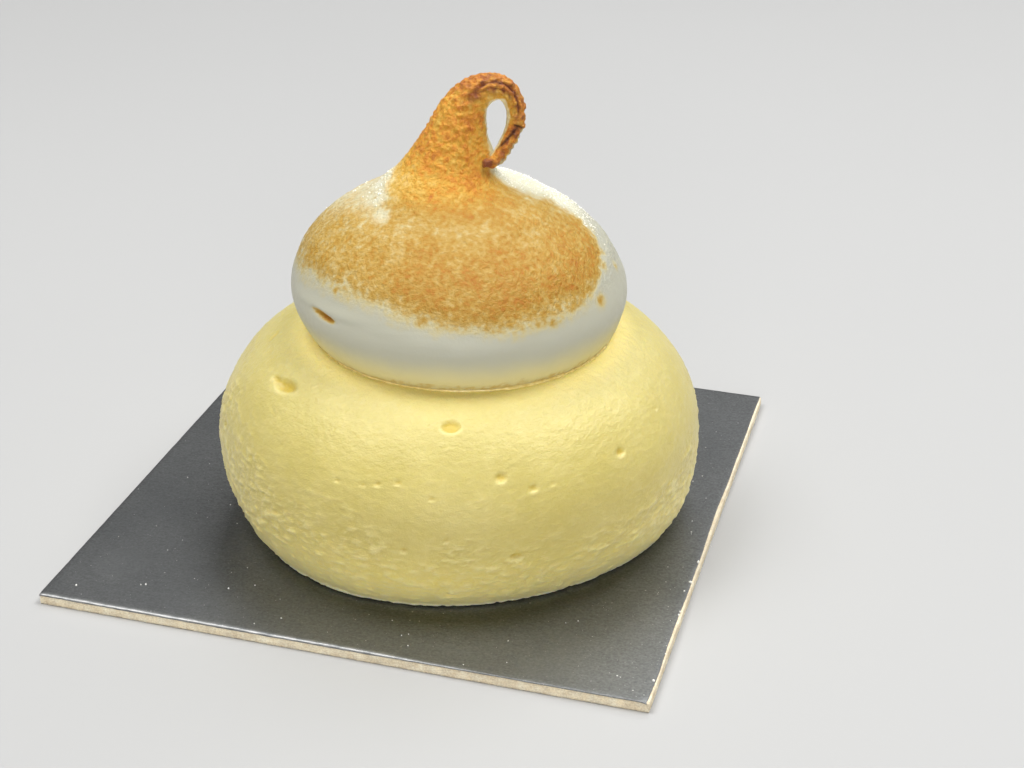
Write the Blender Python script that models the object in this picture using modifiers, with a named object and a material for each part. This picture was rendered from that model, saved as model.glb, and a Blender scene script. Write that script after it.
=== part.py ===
"""A single lemon meringue cake on its square card.

A moulded cushion of lemon mousse stands on a square of silver-faced board. A dollop of meringue is
piped on its crown, and the peak that the nozzle drew up curls over and touches down on the
dollop's own shoulder. Lengths are in metres, +Z is up, and the origin is the middle of the card's
underside. Heights are measured from the card's top face unless a name says otherwise.
"""

import math
import random

import bmesh
import bpy
from mathutils import Matrix, Vector, noise

MM = 0.001
GAP = 0.3 * MM  # left between pieces that rest on each other

# Card: a cut square of board.
CARD_SIDE = 80 * MM
CARD_THICK = 1.5 * MM
CARD_EDGE = 0.12 * MM

# Cushion: widest low down, drawn in below to a smaller foot that isn't quite round.
CUSHION_AT = Vector((4.6, -1.6)) * MM
CUSHION_RADIUS = 32.3 * MM
CUSHION_HEIGHT = 27.7 * MM
WIDEST_HEIGHT = 12.2 * MM
CROWN_FLAT = 13.8 * MM
FOOT_RADIUS = 27.6 * MM
FOOT_SHIFT = 1.75 * MM  # how far the foot reaches out on one side
FOOT_SHIFT_TURN = math.radians(29)
FOOT_STRETCH = 1.95 * MM  # how oval the foot is
FOOT_STRETCH_TURN = math.radians(49)
LOWER_FULLNESS = 2.5  # exponents of the two superellipses, 2 being a plain ellipse
UPPER_FULLNESS = 2.17
CUSHION_STEPS = 96
LOWER_ROWS = 9
UPPER_ROWS = 13
SWELL = 0.3 * MM  # slight swells of the side, which fade out at the foot and under the dollop
SWELL_SPAN = 11 * MM
SWELL_FOOT_FADE = 3 * MM
SWELL_CROWN_RADIUS = 20 * MM
SWELL_CROWN_FADE = 6 * MM

# Pits that burst bubbles left in the cushion's shown side. Each is its turn in degrees, its height,
# its width, tallness and depth in millimetres, and its slant in degrees.
PITS = (
    (-132, 24.7, 3.6, 1.9, 1.0, -24),
    (-75, 25.2, 2.3, 1.7, 0.8, 0),
    (-63, 20.7, 1.4, 1.3, 0.7, 0),
    (-56, 19.1, 1.1, 1.0, 0.6, 0),
    (-32, 20.2, 1.3, 1.1, 0.6, 0),
    (-61, 10.8, 1.5, 0.9, 0.6, 0),
)
# The same kind of pits on the far side, spread by a seeded draw.
BACK_PITS = 7
BACK_PIT_SEED = 5
BACK_PIT_TURNS = (15, 225)
BACK_PIT_HEIGHTS = (5, 24)
BACK_PIT_WIDTHS = (1.1, 2.4)
BACK_PIT_TALL = 0.75  # of the width
BACK_PIT_DEPTH = 0.7
BACK_PIT_SLANT = 40

# Dollop and peak: one sweep of round sections. Each is how far out its middle lies along the
# heading of the curl, how far aside, its height and its radius, all in millimetres.
PEAK_HEADING = math.radians(16)
DOLLOP_AT = Vector((5.1, -1.4)) * MM
DOLLOP_LEAN = -0.09  # the dollop leans back from the curl as it rises
LEAN_FROM = 27.1 * MM
LEAN_TO = 47.0 * MM
SECTIONS = (
    (0.0, 0.0, 24.5, 17.2),  # under the crown, cut away below
    (0.0, 0.0, 27.1, 19.7),  # contact ring
    (0.0, 0.0, 29.6, 21.2),
    (0.0, 0.0, 33.2, 22.0),  # belly
    (0.0, 0.0, 37.0, 20.8),
    (0.0, 0.0, 40.6, 18.2),
    (0.0, 0.0, 44.0, 13.6),  # shoulder
    (0.0, 0.0, 47.0, 8.3),
    (0.3, 0.0, 49.8, 5.6),  # foot of the peak
    (1.1, 0.0, 53.5, 4.0),
    (1.9, 0.0, 56.4, 3.1),
    (3.2, 0.0, 58.5, 2.4),
    (5.2, 0.0, 59.6, 1.8),  # top of the curl
    (7.2, 0.0, 59.3, 1.4),
    (8.4, 0.0, 57.2, 1.2),
    (8.3, -0.5, 54.6, 1.1),
    (7.1, -1.4, 52.3, 0.95),
    (5.9, -2.4, 50.9, 0.8),
    (4.9, -3.1, 50.8, 0.6),  # tip, resting on the foot of the peak
)
RINGS_PER_SECTION = 4
SWEEP_SIDES = 48

# A slit that opened in the dollop's belly, given as the pits are.
SLIT = (-125, 34.8, 3.9, 1.0, 0.8, -12)


def material(name, colour, roughness, metallic=0.0):
    made = bpy.data.materials.new(name)
    made.use_nodes = True
    shader = made.node_tree.nodes["Principled BSDF"]
    shader.inputs["Base Color"].default_value = (*colour, 1.0)
    shader.inputs["Roughness"].default_value = roughness
    shader.inputs["Metallic"].default_value = metallic
    made.diffuse_color = (*colour, 1.0)
    return made


def add_object(name, mesh, collection, made_of=None):
    obj = bpy.data.objects.new(name, mesh)
    collection.objects.link(obj)
    if made_of:
        mesh.materials.clear()
        mesh.materials.append(made_of)
    return obj


def as_cutter(obj):
    obj.hide_render = True
    obj.display_type = "WIRE"
    return obj


def evaluated_mesh(obj, name):
    """The object's mesh with its modifiers applied, or a curve's mesh with its caps welded on."""
    graph = bpy.context.evaluated_depsgraph_get()
    mesh = bpy.data.meshes.new_from_object(obj.evaluated_get(graph))
    mesh.name = name
    work = bmesh.new()
    work.from_mesh(mesh)
    bmesh.ops.remove_doubles(work, verts=work.verts, dist=0.001 * MM)
    work.to_mesh(mesh)
    work.free()
    return mesh


def remove(obj):
    data = obj.data
    bpy.data.objects.remove(obj)
    if isinstance(data, bpy.types.Curve):
        bpy.data.curves.remove(data)
    else:
        bpy.data.meshes.remove(data)


def turned(name, outline, steps):
    """The mesh that the outline, (radius, height) from top to bottom, sweeps round the Z axis."""
    profile = bpy.data.meshes.new(name)
    points = [(radius, 0.0, height) for radius, height in outline]
    links = [(i, i + 1) for i in range(len(points) - 1)]
    profile.from_pydata(points, links, [])
    blank = add_object(name, profile, bpy.context.scene.collection)
    screw = blank.modifiers.new("turn", "SCREW")
    screw.steps = steps
    screw.render_steps = steps
    screw.use_merge_vertices = True
    screw.merge_threshold = 0.001 * MM
    mesh = evaluated_mesh(blank, name)
    remove(blank)
    return mesh


# ---- card ----------------------------------------------------------------------------------


def make_card(collection):
    bpy.ops.mesh.primitive_cube_add(size=1, location=(0, 0, CARD_THICK / 2))
    card = bpy.context.object
    card.name = "card"
    card.scale = (CARD_SIDE, CARD_SIDE, CARD_THICK)
    bpy.ops.object.transform_apply(location=False, rotation=False, scale=True)
    edge = card.modifiers.new("cut_edge", "BEVEL")
    edge.width = CARD_EDGE
    edge.segments = 2
    card.data.materials.append(material("silver_card", (0.33, 0.33, 0.32), 0.35, 0.8))
    for other in card.users_collection:
        other.objects.unlink(card)
    collection.objects.link(card)


# ---- cushion -------------------------------------------------------------------------------


def foot_radius(turn):
    shift = FOOT_SHIFT * math.cos(turn - FOOT_SHIFT_TURN)
    stretch = FOOT_STRETCH * math.cos(2 * (turn - FOOT_STRETCH_TURN))
    return FOOT_RADIUS + shift + stretch


def side_radius(height, turn=None):
    """Radius of the cushion at a height: on its mean outline, or with the foot as it is at a turn."""
    if height > WIDEST_HEIGHT:
        up = (height - WIDEST_HEIGHT) / (CUSHION_HEIGHT - WIDEST_HEIGHT)
        out = (1 - up**UPPER_FULLNESS) ** (1 / UPPER_FULLNESS)
        return CROWN_FLAT + (CUSHION_RADIUS - CROWN_FLAT) * out
    foot = FOOT_RADIUS if turn is None else foot_radius(turn)
    drawn_in = 1 - (foot / CUSHION_RADIUS) ** LOWER_FULLNESS
    reach = WIDEST_HEIGHT / drawn_in ** (1 / LOWER_FULLNESS)
    down = (WIDEST_HEIGHT - height) / reach
    return CUSHION_RADIUS * (1 - down**LOWER_FULLNESS) ** (1 / LOWER_FULLNESS)


def cushion_outline():
    """(radius, height) from the middle of the crown down the side to the middle of the underside."""
    points = [(0.0, CUSHION_HEIGHT), (CROWN_FLAT / 2, CUSHION_HEIGHT)]
    for row in range(UPPER_ROWS):
        angle = math.pi / 2 * (1 - row / UPPER_ROWS)
        out = math.cos(angle) ** (2 / UPPER_FULLNESS)
        up = math.sin(angle) ** (2 / UPPER_FULLNESS)
        radius = CROWN_FLAT + (CUSHION_RADIUS - CROWN_FLAT) * out
        height = WIDEST_HEIGHT + (CUSHION_HEIGHT - WIDEST_HEIGHT) * up
        points.append((radius, height))
    for row in range(LOWER_ROWS + 1):
        height = GAP + (WIDEST_HEIGHT - GAP) * (1 - row / LOWER_ROWS)
        points.append((side_radius(height), height))
    points.append((0.0, GAP))
    return points


def shape_cushion(mesh):
    """Gives the turned cushion its uneven foot and the slight swells of its side."""
    for vertex in mesh.vertices:
        x, y, height = vertex.co
        radius = math.hypot(x, y)
        if radius < GAP:  # the middle of the crown or of the underside
            continue
        turn = math.atan2(y, x)
        if height < WIDEST_HEIGHT:
            radius = side_radius(height, turn)
        above_foot = min(1.0, (height - GAP) / SWELL_FOOT_FADE)
        off_crown = min(1.0, max(0.0, (radius - SWELL_CROWN_RADIUS) / SWELL_CROWN_FADE))
        radius += SWELL * noise.noise(vertex.co / SWELL_SPAN) * above_foot * off_crown
        vertex.co.x = radius * math.cos(turn)
        vertex.co.y = radius * math.sin(turn)


def cushion_mesh(name):
    mesh = turned(name, cushion_outline(), CUSHION_STEPS)
    shape_cushion(mesh)
    return mesh


def cushion_side(turn, height):
    """A point of the cushion's side and the way its surface faces, from the cushion's middle."""
    radius = side_radius(height, turn)
    slope = side_radius(height + MM / 2, turn) - side_radius(height - MM / 2, turn)
    outward = Vector((math.cos(turn), math.sin(turn), 0.0))
    point = outward * radius + Vector((0, 0, height))
    facing = (outward * MM - Vector((0, 0, slope))).normalized()
    return point, facing


def add_hollow_cutter(name, point, facing, shape, cutters):
    """An ellipsoid that sinks a hollow of the given shape, in millimetres, where a surface faces out."""
    width, tall, depth, slant = shape
    # The ellipsoid's middle lies half a depth outside the surface, so the rim is a soft edge.
    lift = depth / 2
    reach = lift + depth
    rim = math.sqrt(1 - (lift / reach) ** 2)
    across = Vector((0, 0, 1)).cross(facing).normalized()
    frame = Matrix((across, facing.cross(across), facing)).transposed()
    slanted = frame @ Matrix.Rotation(math.radians(slant), 3, "Z")
    size = Matrix.Diagonal((width / 2 / rim * MM, tall / 2 / rim * MM, reach * MM))
    place = (slanted @ size).to_4x4()
    place.translation = point + facing * (lift * MM)
    work = bmesh.new()
    bmesh.ops.create_icosphere(work, subdivisions=2, radius=1.0)
    bmesh.ops.transform(work, matrix=place, verts=work.verts)
    mesh = bpy.data.meshes.new(name)
    work.to_mesh(mesh)
    work.free()
    as_cutter(add_object(name, mesh, cutters))


def back_pits():
    draw = random.Random(BACK_PIT_SEED)
    first, last = BACK_PIT_TURNS
    for i in range(BACK_PITS):
        turn = first + (last - first) * (i + draw.random()) / BACK_PITS
        height = draw.uniform(*BACK_PIT_HEIGHTS)
        width = draw.uniform(*BACK_PIT_WIDTHS)
        slant = draw.uniform(-BACK_PIT_SLANT, BACK_PIT_SLANT)
        yield turn, height, width, width * BACK_PIT_TALL, BACK_PIT_DEPTH, slant


def make_pit_cutters(origin, cutters):
    for turn, height, *shape in (*PITS, *back_pits()):
        point, facing = cushion_side(math.radians(turn), height * MM)
        add_hollow_cutter("pit", origin + point, facing, shape, cutters)


def make_cushion(collection, cutters):
    origin = Vector((CUSHION_AT.x, CUSHION_AT.y, CARD_THICK))
    mesh = cushion_mesh("cake_body")
    mesh.transform(Matrix.Translation(origin))
    mousse = material("lemon_mousse", (0.86, 0.76, 0.38), 0.5)
    body = add_object("cake_body", mesh, collection, mousse)
    make_pit_cutters(origin, cutters)
    pits = body.modifiers.new("pits", "BOOLEAN")
    pits.operation = "DIFFERENCE"
    pits.operand_type = "COLLECTION"
    pits.collection = cutters
    mesh.shade_smooth()


# ---- meringue ------------------------------------------------------------------------------


def smooth_path(rows, between):
    """Points of a Catmull-Rom curve through the rows, with so many steps from one to the next."""
    rows = [Vector(row) for row in rows]
    ends = [2 * rows[0] - rows[1], *rows, 2 * rows[-1] - rows[-2]]
    path = []
    for before, start, end, after in zip(ends, ends[1:], ends[2:], ends[3:]):
        for step in range(between):
            t = step / between
            path.append(
                start
                + (end - before) * (t / 2)
                + (before * 2 - start * 5 + end * 4 - after) * (t * t / 2)
                + (start * 3 - before - end * 3 + after) * (t**3 / 2)
            )
    path.append(rows[-1])
    return path


def sweep_mesh(name):
    """The dollop, its peak and the curl, as a curve whose bevel takes each point's own radius."""
    path = smooth_path(SECTIONS, RINGS_PER_SECTION)
    curve = bpy.data.curves.new(name, "CURVE")
    curve.dimensions = "3D"
    curve.bevel_depth = MM
    curve.bevel_resolution = SWEEP_SIDES // 2 - 2
    curve.use_fill_caps = True
    spline = curve.splines.new("POLY")
    spline.points.add(len(path) - 1)
    for point, (out, aside, height, radius) in zip(spline.points, path):
        point.co = (out * MM, aside * MM, height * MM, 1.0)
        point.radius = radius
    rail = bpy.data.objects.new(name, curve)
    bpy.context.scene.collection.objects.link(rail)
    mesh = evaluated_mesh(rail, name)
    remove(rail)
    for vertex in mesh.vertices:
        rise = min(max(vertex.co.z, LEAN_FROM), LEAN_TO) - LEAN_FROM
        vertex.co.x += DOLLOP_LEAN * rise
    turn = Matrix.Rotation(PEAK_HEADING, 4, "Z")
    mesh.transform(Matrix.Translation((DOLLOP_AT.x, DOLLOP_AT.y, CARD_THICK)) @ turn)
    return mesh


def dollop_side(turn, height):
    """A point of the dollop's side and the way its surface faces, from the dollop's middle."""
    rings = [(ring[2] * MM, ring[3] * MM) for ring in smooth_path(SECTIONS, RINGS_PER_SECTION)]
    above = next(i for i, ring in enumerate(rings) if ring[0] > height)
    (low, inner), (high, outer) = rings[above - 1], rings[above]
    radius = inner + (outer - inner) * (height - low) / (high - low)
    outward = Vector((math.cos(turn), math.sin(turn), 0.0))
    facing = (outward * (high - low) - Vector((0, 0, outer - inner))).normalized()
    leaning = Matrix.Rotation(PEAK_HEADING, 3, "Z") @ Vector((DOLLOP_LEAN * (height - LEAN_FROM), 0, 0))
    return outward * radius + leaning + Vector((0, 0, height)), facing


def make_meringue(collection, cutters):
    toasted = material("toasted_meringue", (0.85, 0.68, 0.42), 0.6)
    meringue = add_object("meringue", sweep_mesh("meringue"), collection, toasted)
    # The dollop's underside follows the crown that it is piped on.
    crown = cushion_mesh("crown")
    crown.transform(Matrix.Translation((CUSHION_AT.x, CUSHION_AT.y, CARD_THICK + GAP)))
    as_cutter(add_object("crown", crown, cutters))
    turn, height, *shape = SLIT
    point, facing = dollop_side(math.radians(turn), height * MM)
    origin = Vector((DOLLOP_AT.x, DOLLOP_AT.y, CARD_THICK))
    add_hollow_cutter("slit", origin + point, facing, shape, cutters)
    cuts = meringue.modifiers.new("seat_and_slit", "BOOLEAN")
    cuts.operation = "DIFFERENCE"
    cuts.operand_type = "COLLECTION"
    cuts.collection = cutters
    # The sweep runs into itself where the curl's tip rests, and this makes the two one surface.
    cuts.use_self = True
    meringue.data.shade_smooth()


def main():
    for obj in list(bpy.data.objects):
        bpy.data.objects.remove(obj)
    cake = bpy.data.collections.new("lemon_meringue_cake")
    cushion_cutters = bpy.data.collections.new("cushion_cutters")
    dollop_cutters = bpy.data.collections.new("dollop_cutters")
    for collection in (cake, cushion_cutters, dollop_cutters):
        bpy.context.scene.collection.children.link(collection)
    make_card(cake)
    make_cushion(cake, cushion_cutters)
    make_meringue(cake, dollop_cutters)


main()
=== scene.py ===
"""A single lemon meringue cake on its silver card: the finish of every surface.

Lengths are in metres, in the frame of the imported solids: the origin is the middle of the card's
underside, +Z is up, and X and Y run along the card's edges. A height is measured from the card's
top face unless its name says otherwise.
"""

import math

import bpy
import numpy as np
from mathutils import Matrix, Vector, noise


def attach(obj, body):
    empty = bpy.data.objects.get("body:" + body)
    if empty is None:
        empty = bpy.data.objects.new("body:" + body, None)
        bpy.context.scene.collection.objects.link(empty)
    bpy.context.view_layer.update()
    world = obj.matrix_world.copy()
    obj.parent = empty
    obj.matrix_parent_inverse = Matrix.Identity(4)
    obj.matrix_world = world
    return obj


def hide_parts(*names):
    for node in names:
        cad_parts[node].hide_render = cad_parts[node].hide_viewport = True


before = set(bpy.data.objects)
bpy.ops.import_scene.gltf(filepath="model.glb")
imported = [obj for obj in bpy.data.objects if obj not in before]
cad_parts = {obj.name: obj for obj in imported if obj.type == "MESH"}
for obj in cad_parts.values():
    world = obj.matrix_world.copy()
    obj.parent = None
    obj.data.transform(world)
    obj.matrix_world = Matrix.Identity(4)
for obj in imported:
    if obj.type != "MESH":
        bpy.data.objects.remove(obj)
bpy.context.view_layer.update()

# ---- card: the board -------------------------------------------------------------------------
# The card's core is grey board pressed from recycled fibre, 1.5 mm thick and 80 mm square. It is
# cut from a big sheet, so its four edges are raw: a beige felt of fibres, a little crushed at the
# top where the blade came in.

MM = 0.001
CARD_HALF = 40 * MM
CARD_THICK = 1.5 * MM
FILM_THICK = 0.14 * MM
BOARD_EDGE_POINTS = 2048  # round the outline
BOARD_EDGE_ROWS = 9
BOARD_INSET = 0.04 * MM  # how far its edge stands back from the card's full size
BOARD_CRUSH = 0.10 * MM  # how much further back it is at the top
BOARD_WORN = 0.06 * MM  # how much further back it is at the bottom
BOARD_FIBRE = 0.09 * MM
BOARD_WANDER = 0.05 * MM
BOARD_TAN = (0.98, 0.84, 0.58)
BOARD_PALE = (1.0, 0.94, 0.74)
BOARD_DARK = (0.52, 0.40, 0.26)


def noise_at(points, span, shift=0.0):
    """Smooth noise, about -1 to 1, with lumps about span across. span is one length for all three
    axes or one for each."""
    scaled = np.asarray(points) / np.asarray(span) + shift
    return np.array([noise.noise(point) for point in scaled.tolist()])


def smoothstep(low, high, value):
    """0 where value is at low, 1 where it is at high, and an even S between them."""
    t = np.clip((value - low) / (high - low), 0.0, 1.0)
    return t * t * (3 - 2 * t)


def ring_faces(counts):
    """Faces that join rings of points, stacked upwards and numbered one after another, each with as
    many points as the one below, half as many or twice as many. Two points after the last ring
    close the bottom and the top."""
    faces = []
    first = 0
    for count, after in zip(counts, counts[1:]):
        low, high = first + np.arange(count), first + count + np.arange(after)
        if after == count:
            groups = [(low, np.roll(low, -1), np.roll(high, -1), high)]
        elif after * 2 == count:
            a, b, c = low[::2], low[1::2], np.roll(low[::2], -1)
            groups = [(a, b, high), (b, np.roll(high, -1), high), (b, c, np.roll(high, -1))]
        else:
            a, b, c = high[::2], high[1::2], np.roll(high[::2], -1)
            groups = [(low, b, a), (low, np.roll(low, -1), b), (np.roll(low, -1), c, b)]
        for group in groups:
            faces += np.stack(group, 1).tolist()
        first += count
    bottom, top = np.arange(counts[0]), first + np.arange(counts[-1])
    under, over = first + counts[-1], first + counts[-1] + 1
    faces += [(under, b, a) for a, b in zip(bottom.tolist(), np.roll(bottom, -1).tolist())]
    faces += [(over, a, b) for a, b in zip(top.tolist(), np.roll(top, -1).tolist())]
    return faces


def mesh_piece(name, points, faces, finish):
    mesh = bpy.data.meshes.new(name)
    mesh.from_pydata(np.asarray(points).tolist(), [], faces)
    mesh.shade_smooth()
    mesh.materials.append(finish)
    piece = bpy.data.objects.new(name, mesh)
    bpy.context.scene.collection.objects.link(piece)
    return piece


def add_node(tree, kind, inputs=None, **settings):
    """A new node, with its settings made and its inputs set to values or linked to sockets."""
    made = tree.nodes.new("ShaderNode" + kind)
    for name, value in settings.items():
        setattr(made, name, value)
    for name, value in (inputs or {}).items():
        if isinstance(value, bpy.types.NodeSocket):
            tree.links.new(value, made.inputs[name])
        else:
            made.inputs[name].default_value = value
    return made


def calculate(tree, operation, *values):
    return add_node(tree, "Math", dict(enumerate(values)), operation=operation).outputs[0]


def clamped(tree, value):
    return add_node(tree, "Clamp", {"Value": value}).outputs[0]


def surface_place(tree):
    """Where the shaded point is, in the piece's own frame."""
    return add_node(tree, "TexCoord").outputs["Object"]


def blend_colour(tree, share, first, second):
    """The first colour turning into the second as share goes from 0 to 1."""
    mix = add_node(tree, "Mix", data_type="RGBA", clamp_factor=True)
    for index, value in ((0, share), (6, first), (7, second)):
        if isinstance(value, bpy.types.NodeSocket):
            tree.links.new(value, mix.inputs[index])
        else:
            mix.inputs[index].default_value = value if index == 0 else (*value, 1.0)
    return mix.outputs[2]


def new_finish(name, colour, **settings):
    """A material, its Principled shader with the plain settings given, and its node tree."""
    finish = bpy.data.materials.new(name)
    finish.use_nodes = True
    shader = finish.node_tree.nodes["Principled BSDF"]
    shader.inputs["Base Color"].default_value = (*colour, 1.0)
    for socket, value in settings.items():
        shader.inputs[socket.replace("_", " ")].default_value = value
    return finish, shader, finish.node_tree


def new_effect(name, inputs, output):
    """An empty node group with float inputs and one float output, and its input sockets by name."""
    group = bpy.data.node_groups.new(name, "ShaderNodeTree")
    for socket, value in inputs.items():
        made = group.interface.new_socket(socket, in_out="INPUT", socket_type="NodeSocketFloat")
        made.default_value = value
    group.interface.new_socket(output, in_out="OUTPUT", socket_type="NodeSocketFloat")
    given = group.nodes.new("NodeGroupInput")
    return group, given.outputs, group.nodes.new("NodeGroupOutput").inputs[output]


def effect(tree, group, **inputs):
    """The output of a node group placed in a material with its own values."""
    placed = add_node(tree, "Group", node_tree=group)
    for name, value in inputs.items():
        socket = placed.inputs[name.replace("_", " ")]
        if isinstance(value, bpy.types.NodeSocket):
            tree.links.new(value, socket)
        else:
            socket.default_value = value
    return placed.outputs[0]


def make_mottle():
    """Soft uneven patches: 0 between them, 1 on them."""
    group, given, result = new_effect("mottle", {"Size": 1 * MM, "Contrast": 1.0, "Seed": 0.0}, "Mask")
    place = surface_place(group)
    shifted = add_node(group, "VectorMath", {0: place, 1: given["Seed"]}, operation="ADD").outputs[0]
    scale = calculate(group, "DIVIDE", 1.0, given["Size"])
    cloud = add_node(group, "TexNoise", {"Vector": shifted, "Scale": scale, "Detail": 3.0})
    centred = calculate(group, "SUBTRACT", cloud.outputs["Fac"], 0.5)
    stretched = calculate(group, "MULTIPLY_ADD", centred, given["Contrast"], 0.5)
    group.links.new(clamped(group, stretched), result)
    return group


def make_grain():
    """A height for fine grain: rounded bumps with finer ones over them. Stretch draws them out along
    Y, and Flatness makes them that much lower than wide."""
    inputs = {"Size": 0.4 * MM, "Fineness": 0.4, "Stretch": 1.0, "Flatness": 1.0}
    group, given, result = new_effect("grain", inputs, "Height")
    place = surface_place(group)
    squeeze = calculate(group, "DIVIDE", 1.0, given["Stretch"])
    shares = add_node(group, "CombineXYZ", {"X": 1.0, "Y": squeeze, "Z": given["Flatness"]}).outputs[0]
    drawn = add_node(group, "VectorMath", {0: place, 1: shares}, operation="MULTIPLY").outputs[0]
    scale = calculate(group, "DIVIDE", 1.0, given["Size"])
    fine_scale = calculate(group, "MULTIPLY", scale, 3.1)
    bumps = add_node(group, "TexNoise", {"Vector": drawn, "Scale": scale, "Detail": 1.0})
    fine = add_node(group, "TexNoise", {"Vector": drawn, "Scale": fine_scale, "Detail": 2.0})
    fine_share = calculate(group, "MULTIPLY", fine.outputs["Fac"], given["Fineness"])
    group.links.new(calculate(group, "ADD", bumps.outputs["Fac"], fine_share), result)
    return group


mottle, grain = make_mottle(), make_grain()


def bump(tree, height, distance):
    return add_node(tree, "Bump", {"Height": height, "Distance": distance}).outputs[0]


def make_board_finish():
    finish, shader, tree = new_finish("grey_board", BOARD_TAN, Roughness=0.92)
    patches = effect(tree, mottle, Size=0.9 * MM, Contrast=2.2)
    fibres = effect(tree, mottle, Size=0.22 * MM, Contrast=4.0, Seed=4.0)
    base = blend_colour(tree, patches, BOARD_TAN, BOARD_PALE)
    stains = effect(tree, mottle, Size=1.5 * MM, Contrast=3.0, Seed=9.0)
    shade = calculate(tree, "MULTIPLY_ADD", fibres, 0.3, calculate(tree, "MULTIPLY", stains, 0.38))
    tree.links.new(blend_colour(tree, shade, base, BOARD_DARK), shader.inputs["Base Color"])
    height = effect(tree, grain, Size=0.12 * MM, Fineness=0.8)
    tree.links.new(bump(tree, height, 0.05 * MM), shader.inputs["Normal"])
    return finish


def square_ring(half, height, count):
    """Points round a square of the given half side, from its (+X, -Y) corner on."""
    side, along = np.divmod(np.arange(count), count // 4)
    travel = 2 * along / (count // 4) - 1
    x = np.select([side == 0, side == 1, side == 2], [1, -travel, -1], travel)
    y = np.select([side == 0, side == 1, side == 2], [travel, 1, -travel], -1)
    return np.stack([x * half, y * half, np.full(count, height)], 1)


def square_slab(half, low, high, edge, count):
    """Points and ring sizes of a square slab. edge lists (inset, height) up its side. The flat faces
    thin out towards the middle by rings of half as many points."""
    halvings = int(math.log2(count // 4))
    levels = range(1, halvings + 1)
    below = [(half - edge[0][0]) * (1 - (level / (halvings + 1)) ** 2) for level in levels]
    above = [(half - edge[-1][0]) * (1 - (level / (halvings + 1)) ** 2) for level in levels]
    rings = [square_ring(below[level - 1], low, count >> level) for level in reversed(levels)]
    rings += [square_ring(half - inset, height, count) for inset, height in edge]
    rings += [square_ring(above[level - 1], high, count >> level) for level in levels]
    points = np.concatenate([*rings, [(0, 0, low), (0, 0, high)]])
    return points, [len(ring) for ring in rings]


def outward(points):
    """How the nearest side of the square faces, fading out at its corners."""
    x, y = points[:, 0] / CARD_HALF, points[:, 1] / CARD_HALF
    steep = 60
    return np.stack([np.sign(x) * np.abs(x) ** steep, np.sign(y) * np.abs(y) ** steep, 0 * x], 1)


def make_board():
    top = CARD_THICK - FILM_THICK
    steps = np.linspace(0, 1, BOARD_EDGE_ROWS)
    crush = BOARD_CRUSH * smoothstep(0.72, 1.0, steps) + BOARD_WORN * smoothstep(0.2, 0.0, steps)
    edge = list(zip(crush, steps * top))
    points, counts = square_slab(CARD_HALF, 0.0, top, edge, BOARD_EDGE_POINTS)
    on_edge = smoothstep(CARD_HALF - 0.6 * MM, CARD_HALF - 0.2 * MM, np.abs(points[:, :2]).max(1))
    fibre = noise_at(points, (0.28 * MM, 0.28 * MM, 0.16 * MM)) * BOARD_FIBRE
    wander = noise_at(points, (3 * MM, 3 * MM, 1 * MM), 7.0) * BOARD_WANDER
    points += outward(points) * (on_edge * (fibre + wander - BOARD_INSET))[:, None]
    board = mesh_piece("card_board", points, ring_faces(counts), make_board_finish())
    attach(board, "root")
    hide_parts("card")


make_board()

# ---- card: the silver film -------------------------------------------------------------------
# The top is a thin satin film of metallised plastic, glued on before cutting. The blade turned its
# rim down a little and left a cut line, painted paler along the front edge's left part: a painted
# highlight where the turned-down rim catches the light. It is dusty, it has one dull finger mark,
# and one corner is knocked.

FILM_EDGE_POINTS = 1024
# The film's rim: how far inside the card's edge and how far below its top, in millimetres.
FILM_RIM = ((0.12, 0.15), (0.03, 0.14), (0.0, 0.10), (0.0, 0.05))
FILM_RIM += ((0.02, 0.015), (0.06, 0.0), (0.14, 0.0), (0.3, 0.0))
FILM_LIP = 0.035 * MM  # how far the rim bends down all round
FILM_NICK = 0.03 * MM
FILM_TURNED_DOWN = 0.13 * MM  # how much further along the front edge's left part, where it shines
FILM_SHORT = 0.40 * MM  # the film stops this much short of the board on the +X side
KNOCK_AT = (CARD_HALF, -CARD_HALF)
KNOCK_RADIUS = 1.3 * MM
KNOCK_DEPTH = 0.16 * MM
SMUDGE_AT = (-33.3 * MM, -30.3 * MM, CARD_THICK)
SMUDGE_HALF = (3.3 * MM, 3.7 * MM, 1 * MM)
FILM_DARK = (0.173, 0.180, 0.182)
FILM_PALE = (0.235, 0.241, 0.240)
FILM_DULL = (0.074, 0.077, 0.078)
# Painted highlight: the paler colour of the cut line where it catches the light.
FILM_CUT = (0.27, 0.27, 0.265)
DUST_COLOUR = (0.80, 0.80, 0.77)


def paint(piece, **layers):
    """Stores named values from 0 to 1 for each point, which the piece's material reads."""
    for name, values in layers.items():
        layer = piece.data.attributes.new(name, "FLOAT", "POINT")
        layer.data.foreach_set("value", np.clip(values, 0, 1).astype(np.float32))


def painted(tree, name):
    """The value that paint stored under this name."""
    return add_node(tree, "Attribute", attribute_name=name).outputs["Fac"]


def make_specks():
    """Scattered round dots: 1 on a dot and 0 off it. Spacing is the room that each dot has, Radius
    its size as a share of that, and Share how many of the places have one."""
    inputs = {"Spacing": 1 * MM, "Radius": 0.15, "Share": 0.5}
    group, given, result = new_effect("specks", inputs, "Mask")
    scale = calculate(group, "DIVIDE", 1.0, given["Spacing"])
    cells = add_node(group, "TexVoronoi", {"Vector": surface_place(group), "Scale": scale})
    near = calculate(group, "LESS_THAN", cells.outputs["Distance"], given["Radius"])
    draw = add_node(group, "SeparateColor", {"Color": cells.outputs["Color"]}).outputs[0]
    chosen = calculate(group, "LESS_THAN", draw, given["Share"])
    group.links.new(calculate(group, "MULTIPLY", near, chosen), result)
    return group


specks = make_specks()


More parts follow.
